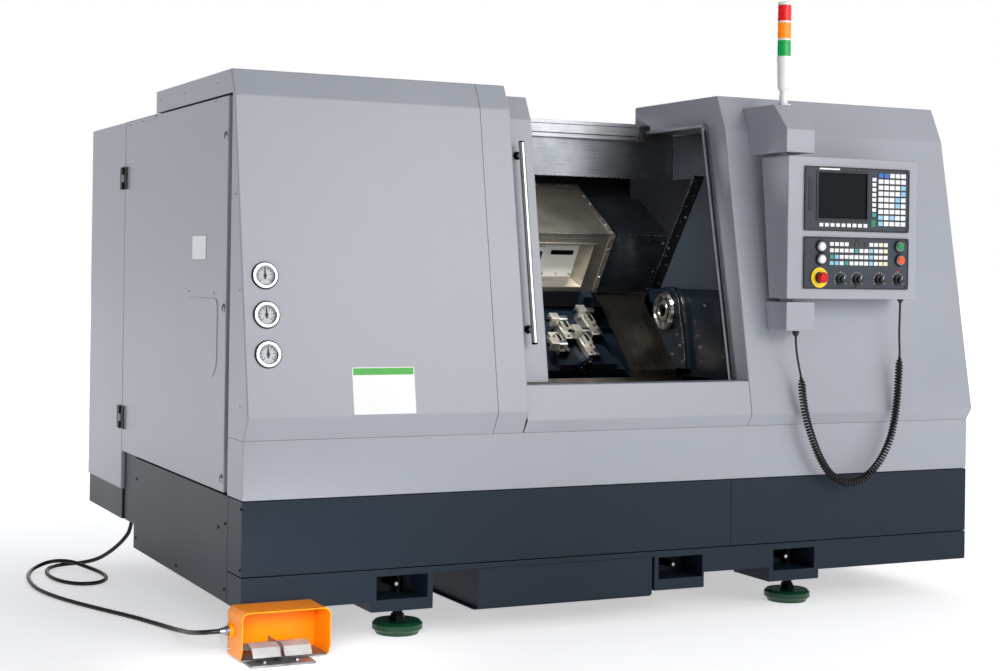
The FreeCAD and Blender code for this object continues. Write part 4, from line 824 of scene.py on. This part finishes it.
pane_long = 500 * math.hypot(door_back, door_rise) / door_rise
rim(rounded(-300, -13, 300, pane_long + 13, 26), rounded(-275, 9, 275, pane_long - 9, 18),
    door_face(662.5, 1120) + door_out * 0.0001, east, door_up, 5)
made("window_gasket", "sliding_door", [seal_rubber], 1.2)
pane_glass, pane_place = new_material("laminated_safety_glass")
pane_smear = noise(pane_glass, 5, 3, pane_place)
finish_material(pane_glass, {"Base Color": linear("#9FAAAA"), "Alpha": 0.35, "IOR": 1.5},
    {"Roughness": stretched(pane_glass, pane_smear, 0.02, 0.07)})
coat_nodes(pane_glass, "door_window")
# A satin tube keeps fine rings from its polishing belt, drawn 2 mm apart.
satin_stainless = metal("satin_stainless_tube", "#D6D5D2", "#ECEBE8", 0.2, (16, 16, 2))
coat_nodes(satin_stainless, "door_handle")
for level in (1051, 1674):
    turned([(7.2, 0.3), (15, 0.3), (15, 5), (12, 8), (7.2, 8)], door_face(1072, level), door_out,
        24)
made("handle_roses", "sliding_door", [black_oxide])
for level, lift in ((1006, -1), (1719, 1)):
    handle_end = door_face(1072, level) - rearward * 0.045
    turned([(0, 0.2), (11.2, 0.2), (11.2, 3), (9, 6), (0, 6)], handle_end, door_up * lift, 24)
made("handle_end_caps", "sliding_door", [black_oxide])

# ---------------------------------------------------------------- service door
# A light sheet door over the left end, on two black lift-off hinges, with slotted
# quarter-turn locks, a pressed cover over an inspection hole and a blank label.

folded_copy("side_door", "side_door", [grey_coat], 3.0)
hinge_black = painted("black_hinge_lacquer", "#060708", "#0A0B0C", 0.4, 3, 0.06, 0.0, 0.15)
coat_nodes(hinge_black, "side_door_hinges")
hinge_levels = (637, 1610)
for level in hinge_levels:
    slab(rounded(-1569, -45, -1617, 45, 3), at(-4.2, 0, level), -rearward, skyward, 3.4)
    slab(rounded(-1578, -36, -1596, 36, 2), at(-7.6, 0, level), -rearward, skyward, 1.2)
made("hinge_leaf_covers", "side_door", [hinge_black], 0.8)
for level in hinge_levels:
    slab(rounded(-1631, -45, -1680, 45, 3), at(-4.2, 0, level), -rearward, skyward, 3.4)
made("hinge_frame_covers", "machine", [hinge_black], 0.8)
# The plane of the left end: a point in it, and its ways along and up.
end_face = (at(-0.1, 0, 0), -rearward, skyward)
recess = [(-308, 1132), (-325, 1149), (-658, 1149), (-674, 1132), (-674, 930), (-660, 898),
    (-630, 880), (-598, 876), (-392, 876), (-352, 884), (-322, 906), (-308, 940)]
slab(recess, *end_face, 2.2)
made("inspection_cover", "side_door", [grey_coat], 1.2, 3)
slab(rounded(-628, 1279, -452, 1370, 4), *end_face, 0.6)
slab(rounded(-624, 1283, -456, 1366, 2), at(-0.7, 0, 0), -rearward, skyward, 0.25, 1)
made("blank_side_label", "side_door",
    [painted("grey_vinyl_border", "#8F9399", "#989CA2", 0.5, 3), plate_white])
screws("side_door_screws", "side_door", [(0, y, z, -east) for y, z in ((661, 1166), (351, 1166),
    (361, 1824), (1356, 1822), (1560, 1822))], 6, 3)
for y, z in ((236, 1701), (236, 545), (236, 1120)):
    turned([(0, -0.2), (15, -0.2), (15, 2.5), (12, 5), (0, 5)], at(0, y, z), -east, 28)
    # The black bar is the lock's slot, drawn dark as painted shade.
    slab(rounded(-3, -10, 3, 10, 2), at(-5.6, y, z), -rearward, skyward, 0.8, 1)
made("side_door_locks", "side_door", [zinc_steel, black_oxide])
slab(oblong(-1150, -1590, 1826, 1834), *end_face, 5)
made("side_door_drip_edge", "side_door", [grey_coat], 1.0)

# ---------------------------------------------------------------- control arm and box
# Welded steel arms hold the control box between two pivot pins; the box is folded 3 mm
# sheet with ground welds, in the same grey coat as the hoods.

folded_copy("control_arms", "machine", [grey_coat], 3.5)
folded_copy("control_box", "control_box", [grey_coat], 4.0)
nylon = painted("black_moulded_nylon", "#0C0D0E", "#151618", 0.35, 1.5, 0.1)
coat_nodes(nylon, "cord_glands")
turned([(5.2, -14), (8, -12), (10, -6), (13, -5), (13, -0.3), (5.2, -0.3)], at(2614, -56, 1170),
    skyward, 6)
made("box_cord_gland", "control_box", [nylon], 0.6)
box_up, box_front = sloped(61, 533)
slab(rounded(-320, 40, 90, 490, 10), at(2300, 27, 1170) + box_front * -0.0001, -east, box_up, 2.5)
made("box_rear_cover", "control_box", [grey_coat], 1.2)

# ---------------------------------------------------------------- lathe control panel
# A moulded bezel with a textured foil holds the display, its soft keys and the keyboard;
# the keys are one moulded silicone sheet, and only their caps differ in colour.

# The foil's fine leather grain is 0.3 mm, drawn at 1.5 mm.
panel_foil = painted("textured_panel_foil", "#2F3640", "#363E49", 0.46, 1.5, 0.12, 0.0, 0.35)
trim_black = painted("black_moulded_trim", "#0F1013", "#17181C", 0.35, 1.5, 0.08)
# Acrylic over a switched-off display: smooth, dark and faintly green.
display_glass = painted("dark_display_acrylic", "#0B1015", "#0E141A", 0.16, 40, 0.0, 0.0, 0.12)
coat_nodes(panel_foil, "cnc_panel")
coat_nodes(display_glass, "cnc_screen")
# Silicone caps are dipped and printed in plain colours, with a soft sheen.
cap_colours = [("white", "#DADCE0", "#F0F1F3"), ("pale_blue", "#7FB6DA", "#98C6E2"),
    ("blue", "#1F62B4", "#2F74C4"), ("teal", "#1F8F84", "#319D92"),
    ("cream", "#E3DFB8", "#EFEBC8"), ("dark", "#24282E", "#2B2F36")]
caps = [painted(f"{word}_silicone_cap", dark, light, 0.4, 1.5, 0.06)
    for word, dark, light in cap_colours]


def cap_finish(centre, normal):
    """The colour of a key from its place; the sheet between keys shows dark."""
    white, teal, dark = 0, 3, 5
    if centre.y > -96.6 and abs(normal.y) > 0.9 or centre.y > -96.2:
        return dark
    x, z = centre.x, centre.z
    beside_display = z > 1430
    if beside_display and x < 2430:
        return white
    if beside_display and x < 2465:
        return teal if z < 1503 else white
    if beside_display:
        coloured = {1: [(0, 7), (0, 8), (2, 7), (3, 4), (3, 5), (4, 2), (4, 3)],
            2: [(0, 0), (1, 0)]}
        key = (round((x - 2480) / 27), round((1642 - z) / 23))
    else:
        coloured = {1: [(0, 3), (1, 2), (1, 3), (8, 1), (8, 2), (8, 3)],
            3: [(0, 2), (3, 3), (5, 1)], 4: [(10, 0), (10, 3), (11, 1), (11, 3)],
            5: [(4, 0), (5, 0), (6, 0), (7, 0)]}
        key = (round((x - 2255) / 23), round((1377 - z) / 24))
    return next((cap for cap, keys in coloured.items() if key in keys), white)


folded_copy("key_mats", "control_box", caps, 0, cap_finish)
# The plane of both panels: a point in it, and its ways along and up.
panel_y = -95
panel_face = (at(0, panel_y - 0.05, 0), east, skyward)
panel_heights = ((1426, 1667), (1208, 1403))
corner_x = (2138, 2374, 2610)
for low, high in panel_heights:
    rim(rounded(2130, low, 2618, high, 9), rounded(2134.5, low + 4.5, 2613.5, high - 4.5, 6),
        *panel_face, 2.2)
    for x in corner_x:
        for z in (low + 8, high - 8):
            slab(rounded(x - 7, z - 6, x + 7, z + 6, 3), *panel_face, 2.0)
rim(rounded(2183, 1464, 2426, 1654, 5), rounded(2192, 1473, 2417, 1645, 3), *panel_face, 2.6)
# A blank pill-shaped cover left of the display.
slab(rounded(2147, 1500, 2166, 1628, 9), *panel_face, 1.4)
made("panel_trim", "control_box", [trim_black], 0.8)
for low, high in panel_heights:
    rim(rounded(2126, low - 4, 2622, high + 4, 11), rounded(2129, low - 1, 2619, high + 1, 9),
        at(0, panel_y + 4.95, 0), east, skyward, 2.4)
made("panel_beads", "control_box", [anodised], 0.6)
# A blank strip over the display.
slab(rounded(2196, 1655.5, 2290, 1661.5, 1), *panel_face, 0.5)
made("blank_panel_strip", "control_box", [caps[0]])
screws("panel_screws", "control_box", [(x, -97, z, -rearward) for low, high in panel_heights
    for x in corner_x for z in (low + 8, high - 8)] + [(2156.5, -96.5, 1507, -rearward),
    (2156.5, -96.5, 1621, -rearward)], 3.2, 1.2, black_oxide, zinc_steel)
# The memory-card door under the keyboard's left column.
slab(rounded(2438, 1446, 2460, 1472, 3), *panel_face, 1.6)
made("card_door", "control_box",
    [painted("green_moulded_plastic", "#0B6B45", "#128055", 0.35, 1.5, 0.06)], 0.8)

# ---------------------------------------------------------------- operator panel
# Illuminated push buttons in black collars with bright rings, four knurled selector knobs
# over printed scales, and a mushroom stop button on a yellow disc.

coat_nodes(panel_foil, "operator_panel")
white_plastic = painted("white_polycarbonate", "#DEDFDC", "#ECECE9", 0.3)
red_plastic = painted("signal_red_plastic", "#B80407", "#D4070B", 0.3, gloss=0.3)
green_plastic = painted("signal_green_plastic", "#03703A", "#06884A", 0.3)
orange_plastic = painted("signal_orange_plastic", "#D83A02", "#F04E04", 0.3)
yellow_plastic = painted("signal_yellow_plastic", "#E8C400", "#F6D600", 0.35)
coat_nodes(white_plastic, "white_button_upper", "white_button_lower")
coat_nodes(green_plastic, "green_button")
coat_nodes(orange_plastic, "orange_button")
coat_nodes(red_plastic, "stop_button")
coat_nodes(nylon, "knob_1", "knob_2", "knob_3", "knob_4")
button_places = ((2207, 1367), (2208, 1319), (2573, 1372), (2577, 1320))
for x, z in button_places:
    centre = at(x, panel_y, z)
    turned([(15.6, 0.05), (24, 0.05), (24, 6), (21.5, 8.5), (15.6, 8.5)], centre, -rearward, 32)
    turned([(15.7, 8.55), (18.2, 8.55), (17.4, 9.8), (15.7, 9.8)], centre, -rearward, 32, 1)
made("button_collars", "control_box", [nylon, chrome])
turned(oblong(21.5, 38, 4.05, 5.0), at(2200, panel_y, 1250), -rearward, 48)
made("stop_disc", "control_box", [yellow_plastic])
knob_level = 1244
knob_x = (2299, 2376, 2481, 2569)
for x in knob_x:
    turned(oblong(17.6, 22.5, 0.05, 1.6), at(x, panel_y, knob_level), -rearward, 32)
made("knob_skirts", "control_box", [trim_black])
scale = []
for x in knob_x:
    for step in range(13):
        way = round_way(east, skyward, 210 - 20 * step)
        long = 0.9 if step % 3 else 1.5
        scale.append((at(x, panel_y - 0.2, knob_level) + way * 0.0272, -rearward, way,
            (long, 1, 1)))
bars("knob_scales", "control_box", scale, (4.2, 1.3, 0.4), white_plastic)
flutes = [round_way(east, skyward, 18 * step) for step in range(20)]
for number, x in enumerate(knob_x, start=1):
    slab(rounded(-1.2, 2, 1.2, 11.5, 1), at(x, panel_y - 26.05, knob_level), east, skyward, 0.5)
    made(f"knob_pointer_{number}", f"knob_{number}", [white_plastic])
    bars(f"knob_flutes_{number}", f"knob_{number}",
        [(at(x, panel_y - 17, knob_level) + way * 0.0125, way, rearward) for way in flutes],
        (15, 1.6, 1.2), nylon)
slab(rounded(2562, 1276, 2576, 1280, 1.5), *panel_face, 0.5)
made("red_scale_mark", "control_box", [red_plastic])

# ---------------------------------------------------------------- signal lamp
# A moulded white post with three stacked acrylic lenses, ribbed inside so that the light
# soaks into them, and with a painted glow in their own colour, so that they shine a little
# even when the lamp is dark.


def lens_acrylic(name, hex_colour):
    """Ribbed acrylic with a faint painted glow in its own colour."""
    material, place = new_material(name)
    ribs = add_node(material, "ShaderNodeTexWave", {"Scale": 60.0, "Distortion": 0.0},
        {"Vector": place})
    # The emission is a painted glow: the lamp is not lit.
    return finish_material(material, {"Base Color": linear(hex_colour), "Roughness": 0.18,
        "IOR": 1.49, "Subsurface Weight": 0.35, "Subsurface Scale": 0.01,
        "Emission Color": linear(hex_colour), "Emission Strength": 0.2},
        {"Normal": relief(material, ribs.outputs["Fac"], 0.3, 0.001)})


coat_nodes(white_plastic, "lamp_post")
lenses = []
for word, colour in (("green", "#0C9A4A"), ("amber", "#FF8A10"), ("red", "#D8141C")):
    lenses.append(lens_acrylic(f"{word}_acrylic_lens", colour))
    coat_nodes(lenses[-1], f"lamp_{word}")
for material, level in enumerate((2087, 2154, 2221)):
    for lift in (12, 24, 36, 48):
        turned([(26.5, lift - 1), (27.3, lift - 0.6), (27.3, lift + 0.6), (26.5, lift + 1)],
            at(2124, 44, level), skyward, 32, material)
made("lens_rings", "machine", lenses)
turned(oblong(24.3, 31, 0.3, 6), at(2124, 44, 1900), skyward, 6)
made("lamp_foot_nut", "machine", [white_plastic], 1.0)

# ---------------------------------------------------------------- bed and headstocks
# Grey iron castings, filled and sprayed with an oil-proof navy enamel; coolant and way oil
# leave them glossy.  Covers and flanges are held with bright socket screws.

# Filler and brush leave the enamel wavy over 12 mm, with a wet gloss.
navy_enamel = painted("oiled_navy_enamel", "#070D14", "#0A121A", 0.26, 12, 0.1, 0.15, 0.22)
coat_nodes(navy_enamel, "slant_bed", "left_headstock", "carriage")
folded_copy("right_headstock", "machine", [navy_enamel], 1.5, steps=2)
bed_angle, bed_foot_y, bed_foot_z = math.radians(34), 600, 756
rise, run = math.sin(bed_angle), math.cos(bed_angle)
spindle_y, spindle_z = 680, 1104


def slant(x, along, above):
    """A point over the slanted bed, up along it and square above it."""
    return at(x, bed_foot_y + along * run - above * rise,
        bed_foot_z + along * rise + above * run)


def spoke(x, radius, degrees):
    """A point round the spindle axis; 0 degrees is to the rear, 90 is up."""
    way = round_way(rearward, skyward, degrees)
    return at(x, spindle_y, spindle_z) + way * radius / 1000


screws("headstock_screws", "machine", [(2012, y, z, -east) for y, z in ((576, 966), (640, 926),
    (700, 964), (752, 1010), (556, 900), (600, 1010), (690, 905), (566, 1052))]
    + [(2040, y, z, -east) for y, z in ((492, 1006), (470, 962), (440, 1130), (300, 1130),
    (180, 1130), (300, 930), (180, 930), (455, 905))], 6, 4)
cheek_x = 2011.5
bead = [spoke(cheek_x, 97, turn) for turn in range(80, 186, 7)]
bead += [at(cheek_x, y, z) for y, z in ((560, 1020), (549, 974), (538, 900))]
tube(bead, 0.0014, 8)
made("machined_cheek_edge", "machine", [zinc_steel])

# ---------------------------------------------------------------- chuck and spindles
# Turned and ground alloy steel: the driven chuck with three hard jaws on the left, and the
# plain spindle nose on the right, each with its ring of socket screws.

# Turning leaves rings round the axis, so the marks are long across X; drawn at 1.5 mm.
ground_steel = metal("ground_spindle_steel", "#9A9B9C", "#D2D3D4", 0.2, (1.5, 60, 60))
coat_nodes(ground_steel, "chuck", "jaw_1", "jaw_2", "jaw_3", "right_spindle")
nose_face, chuck_face = at(1991, spindle_y, spindle_z), at(1060, spindle_y, spindle_z)
turned([(60, -0.5), (72, -0.5), (72, 2.0), (70.5, 3.5), (61.5, 3.5), (60, 2.0)], nose_face,
    -east, 48)
turned([(25, -0.5), (40, -0.5), (40, 2.2), (38, 4), (28, 4), (25, 1)], nose_face, -east, 48)
turned([(14, -6), (24.2, -6), (24.2, 0.6), (14, -4)], nose_face, -east, 40, 1)
turned(oblong(44, 47, -0.5, 0.6), nose_face, -east, 48, 1)
turned(oblong(79.1, 79.6, -6, -9), nose_face, -east, 48, 1)
made("spindle_nose_rings", "right_spindle", [ground_steel, black_oxide])
screws("spindle_nose_screws", "right_spindle", [(spoke(1993, 53.7, 60 * step + 30), -east)
    for step in range(6)], 5, 4)
# Black rings on the chuck face stand for its grooves: painted shade.
for radius in (58, 74, 90):
    turned(oblong(radius, radius + 1.2, -0.4, 0.35), chuck_face, east, 48)
made("chuck_groove_shade_rings", "left_spindle", [black_oxide])
screws("chuck_screws", "left_spindle", [(spoke(1060, 68, 120 * step + turn), east)
    for step in range(3) for turn in (30, 60, 90)], 5.5, 3, black_oxide, zinc_steel)
for number, turn in ((1, 90), (2, 210), (3, 330)):
    screws(f"jaw_screws_{number}", f"jaw_{number}", [(spoke(1077.2, 88, turn), east)], 5, 2.6,
        black_oxide, zinc_steel)

# ---------------------------------------------------------------- carriage and tool slide
# The carriage is cast iron under the covers.  The cross slide and the gang tool blocks are
# milled, blackened on the clamping faces and left bright on the tops.

# Face milling leaves crossed arcs, drawn 3 mm apart.
milled_iron = metal("milled_block_iron", "#B9B6AF", "#E6E3DC", 0.38, (3, 3, 40))
coat_nodes(navy_enamel, "cross_slide")
# Tops and left faces get bright milled iron, the rest black oxide; the bright left faces are
# painted light from the work area's upper left.
folded_copy("tool_blocks", "cross_slide", [milled_iron, black_oxide], 2.0,
    lambda centre, normal: 0 if normal.z > 0.5 or normal.x < -0.5 else 1, steps=2)
slide_up, slide_out = sloped(run, rise)
slide_left, slide_top = 1480, 115
heads = []
# Each block's left edge, width, start and finish along the slide, and height.
for left, wide, start, finish, tall in ((130, 50, 100, 270, 26), (62, 50, 190, 330, 40),
        (6, 44, 120, 250, 30), (190, 48, 210, 380, 44)):
    x, top = slide_left + left + wide / 2, slide_top + tall
    for step in range(4):
        along = start + 16 + (finish - start - 32) * step / 3
        heads.append((slant(x + (9 if step % 2 else -9), along, top), slide_out))
    clamp = slant(x, start + (finish - start) * 0.55, top)
    slab(rounded(-wide * 0.36, -26, wide * 0.36, 26, 4), clamp, east, slide_up, 14)
    slab(rounded(-5, -20, 5, 20, 4), clamp + slide_out * 0.0141, east, slide_up, 5, 1)
    tool = slant(x, start + 2, top + 8)
    slab(rounded(-7, -18, 7, 16, 2), tool, east, slide_up, 12, 2)
    turned([(0, -2), (4.5, -2), (4.5, 20), (3, 24), (0, 24)], slant(x + 12, start + 24, top),
        slide_out, 12, 1)
# Bored holders with a clamped shank in each.
for x, along, above in ((1500, 150, 158), (1560, 300, 170), (1640, 240, 156), (1704, 350, 174)):
    centre = slant(x, along, above)
    slab(rounded(-20, -20, 20, 20, 4), centre - east * 0.018, -slide_up, slide_out, 36)
    turned([(9, -22), (15, -22), (15, 34), (13, 38), (9, 38)], centre, -east, 24, 2)
    turned([(0, -26), (8.6, -26), (8.6, 62), (6, 70), (0, 70)], centre, -east, 16, 1)
made("tool_clamps", "cross_slide", [milled_iron, black_oxide, ground_steel],
    1.5, 3)
screws("tool_block_screws", "cross_slide", heads, 4.5, 3.5, black_oxide, zinc_steel)
flange_centre = slant(1590, 73, 114) - slide_up * 0.0145
turned([(0, 0), (33, 0), (33, 4), (20, 5.5), (12, 5.5), (0, 5.5)], flange_centre, -slide_up, 40)
made("slide_flange_cap", "cross_slide", [black_oxide], 0.8)
screws("flange_screws", "cross_slide",
    [(flange_centre + round_way(east, slide_out, 45 * step) * 0.027 - slide_up * 0.004, -slide_up)
    for step in range(8)], 3.2, 2.4)

# ---------------------------------------------------------------- way covers and guard
# Folded stainless sheet: telescopic covers over the ways, and the carriage's own guard with
# bolted flanges and a window into a cast tool housing.

# Brushing runs along X; its lines are 0.5 mm apart and are drawn at 3 mm.
brushed_steel = metal("brushed_stainless_guard", "#9C978F", "#C2BDB4", 0.36, (150, 3, 3), 0.12)
# The covers have been wiped with oil, which turns the steel to a dark blue-grey.
oiled_steel = metal("oiled_stainless_cover", "#3E444D", "#565D68", 0.36, (90, 12, 12), 0.03)
# The sloped sheet over the bed is ground down its fall, against the chips.
fall_steel = metal("ground_chip_slope", "#33312E", "#57534C", 0.36, (4, 90, 90), 0.2)
folded_copy("way_covers", "machine", [oiled_steel, fall_steel], 0.8,
    lambda centre, normal: 1 if centre.x > 1799 and centre.z < 1168 else 0, steps=2)
folded_copy("carriage_guard", "carriage", [brushed_steel], 0.8, steps=2)
lower_back, lower_rise = 150, 235
lower_up, lower_out = sloped(-lower_back, lower_rise)
upper_up, upper_out = sloped(333, 212)
# The guard and the way covers each have a ridge where their two slopes meet.
ridge_z, cover_ridge_y = 1410, 740
guard_ridge = at(0, 734, ridge_z)
lower_face = (guard_ridge + lower_out * 0.0002, east, lower_up)
upper_face = (guard_ridge + upper_out * 0.0002, east, upper_up)
for x0, x1 in ((1771, 1795), (1330, 1352)):
    slab(oblong(x0, x1, -279, -1), *lower_face, 3)
    slab(oblong(x0, x1, 1, 394), *upper_face, 3)
slab(oblong(1352, 1771, 374, 394), *upper_face, 3)
ridge_end = guard_ridge + east * 1.795
tube([ridge_end + lower_out * 0.002 - lower_up * 0.278,
    ridge_end + (lower_out + upper_out) * 0.001,
    ridge_end + upper_out * 0.002 + upper_up * 0.393], 0.0035, 10, 1)
made("guard_flanges", "carriage", [brushed_steel, black_oxide], 0.8)
flange_heads = []
for x, lows, highs in ((1783, (-262, -205, -70, -22), (18, 74, 122, 236, 300, 372)),
        (1341, (-262, -160, -22), (22, 150, 300)),
        *((x, (), (384,)) for x in (1420, 1500, 1590, 1680, 1740))):
    for ups, up_way, out_way in ((lows, lower_up, lower_out), (highs, upper_up, upper_out)):
        flange_heads += [(guard_ridge + east * x / 1000 + up_way * up / 1000 + out_way * 0.0032,
            out_way) for up in ups]
screws("guard_flange_screws", "carriage", flange_heads, 6.5, 4)
# Bright zinc rods along both ridges are painted highlights, for the bright lines where the folds
# catch the light.
ridge_lift = (lower_out + upper_out) * 0.0002
tube([guard_ridge + east * 1.332 + ridge_lift, guard_ridge + east * 1.793 + ridge_lift], 0.0022, 8)
made("guard_ridge_highlight_rod", "carriage", [zinc_steel])
cover_ridge = at(0, cover_ridge_y, ridge_z) + ridge_lift
tube([cover_ridge + east * 1.72, cover_ridge + east * 2.049], 0.0018, 8)
made("cover_ridge_highlight_rod", "machine", [zinc_steel])
screws("way_cover_screws", "machine", [(at(x, cover_ridge_y, ridge_z) + lower_up * low
    + lower_out * 0.0002, lower_out) for x, low in ((2036, -0.035), (2036, -0.18),
    (2036, -0.262), (1960, -0.025))], 4.5, 3)

# The guard's window: a bevelled stainless frame and reveal round a milled white housing.
window_foot = at(0, 884, 1175)


def in_window(x, up, deep):
    """A point by the guard's window, up along the slope and deep behind it."""
    return window_foot + east * x / 1000 + lower_up * up / 1000 - lower_out * deep / 1000


slope_long = math.hypot(lower_back, lower_rise) / lower_rise
low_edge, high_edge = 20 * slope_long, 190 * slope_long
outer = oblong(1390, 1710, low_edge, high_edge)
inner = oblong(1404, 1682, low_edge + 12, high_edge - 14)
heart = in_window(1545, (low_edge + high_edge) / 2, 30)
for index in range(4):
    corners = [in_window(*outline[(index + step) % 4], deep)
        for outline, step, deep in ((outer, 0, 2), (outer, 1, 2), (inner, 1, 58), (inner, 0, 58))]
    thick = (sum(corners, Vector()) / 4 - heart).normalized() * 0.0015
    closed([[shell.verts.new(corner + lift) for corner in corners] for lift in (Vector(), thick)])
rim(oblong(1381, 1719, low_edge - 9, high_edge + 9), outer, window_foot + lower_out * 0.0002, east,
    lower_up, 2.5)
made("window_reveal", "carriage", [brushed_steel], 0.6)
housing_white = painted("white_cast_housing", "#C9C9C4", "#DDDDD8", 0.38, 8, 0.12, 0.1)
slab(oblong(1404, 1684, low_edge + 8, high_edge - 10), in_window(0, 0, 64), east, lower_up, 5)
# The thin black patch is the housing's slot, drawn dark as painted shade.
slab(rounded(1560, high_edge - 84, 1664, high_edge - 62, 5), in_window(0, 0, 58.8), east, lower_up,
    0.8, 1)
slab(rounded(1440, low_edge + 30, 1530, high_edge - 40, 6), in_window(0, 0, 58.8), east, lower_up,
    12)
slab(rounded(1455, low_edge + 44, 1515, high_edge - 62, 4), in_window(0, 0, 46.7), east, lower_up,
    1.0, 1)
made("tool_housing", "carriage", [housing_white, black_oxide], 1.5)
screws("tool_housing_screws", "carriage", [(in_window(x, up, 58.6), lower_out)
    for x in (1548, 1610, 1672) for up in (low_edge + 26, high_edge - 30)], 4.5, 3)

# ---------------------------------------------------------------- work-area lining
# Bent stainless and steel sheets line the work area: a bright fascia under the roof, a black
# rib that carries the covers, painted side and rear walls, and the chip trough.

fascia_steel = metal("brushed_stainless_fascia", "#6B6F76", "#8C9097", 0.32, (150, 3, 3), 0.1)
# Spray mist settles on the black walls, so that their gloss varies over 40 mm.
mist_black = painted("oily_black_enamel", "#090A0C", "#101215", 0.3, 40, 0.03, 0.1)
# The right wall is drawn darker than its grey paint: painted shade under the roof at the right
# end.
right_wall_painted_shade = painted("right_wall_enamel_painted_shade", "#1D2228", "#242A31", 0.32, 40, 0.03, 0.1, 0.25)


def liner_finish(centre, normal):
    """Fascia, then right wall, trough, and the black rest."""
    if 799 < centre.y < 806 and centre.z > 1640 and centre.x < 2102:
        return 0
    if centre.x > 2099.9 and centre.z > 1100:
        return 1
    if centre.z < 872:
        return 2
    return 3


folded_copy("work_area_liner", "machine", [fascia_steel, right_wall_painted_shade, fall_steel,
    mist_black], 0, liner_finish)
tube([at(1000, 799.6, 1646), at(2098, 799.6, 1646)], 0.002, 8)
made("fascia_hem", "machine", [zinc_steel])
rib_up, rib_out = sloped(-351, 480)
rib_foot = at(2075, 902, 1169)
screws("rib_screws", "machine", [(rib_foot + east * shift / 1000 + rib_up * up / 1000, rib_out)
    for shift, up in ((-12, 30), (8, 54), (10, 150), (-10, 196), (-10, 236), (10, 300), (-4, 372),
    (12, 392), (-8, 452), (10, 500), (4, 548), (-8, 574))], 5, 4)
slab(oblong(-25.2, -22.5, 0, 590), rib_foot + rib_out * 0.0001, east, rib_up, 2.5)
made("rib_edge", "machine", [zinc_steel])

# ---------------------------------------------------------------- foot switch
# An orange enamelled steel guard over two cast aluminium pedals on a steel base, with hex
# stop bolts under the pedals and a nickelled gland for the cable.

orange_enamel = painted("orange_stove_enamel", "#FF8800", "#FF9604", 0.3, 6, 0.04, 0.04, 0.3)
# Bead blasting leaves a sparkle of 2 mm on the cast pedals.
cast_alloy = metal("blasted_cast_aluminium", "#A5A3A3", "#C6C4C3", 0.45, (2, 2, 2), 0.15, 0.45)
base_steel = metal("rolled_base_steel", "#6E7072", "#9A9C9E", 0.42, (30, 8, 8), 0.12, 0.6)
folded_copy("foot_guard", "machine", [orange_enamel], 0.8, wide=3, steps=2)
coat_nodes(metal("nickelled_gland", "#8795A0", "#A9B4BC", 0.3, (5, 5, 5)), "foot_cord_gland")
folded_copy("foot_base_plate", "machine", [base_steel], 1.0, wide=3, steps=2)
pedals = {"pedal_left": 24, "pedal_right": 132}
for name in pedals:
    folded_copy(name, name, [cast_alloy], 1.2, wide=4, steps=2)
for name, middle in pedals.items():
    treads = [(at(middle, -80 - 14 * step, 49.6 + 2.75 * step), skyward, east)
        for step in range(5)]
    bars(f"{name}_treads", name, treads, (78, 2.4, 1.4), cast_alloy)
screws("pedal_stop_bolts", "machine", [(middle, -176, 8, skyward) for middle in pedals.values()],
    9, 6, recess=zinc_steel, sides=6)
screws("guard_screws", "machine", [(-46, -24, 30, -east), (253, -24, 30, east),
    (253, -24, 120, east)], 5, 3)
slab(rounded(-58, 0, -44, 36, 2), at(-46.1, 0, 34), -rearward, skyward, 0.8)
made("blank_switch_label", "machine", [plate_white])

# ---------------------------------------------------------------- finished model
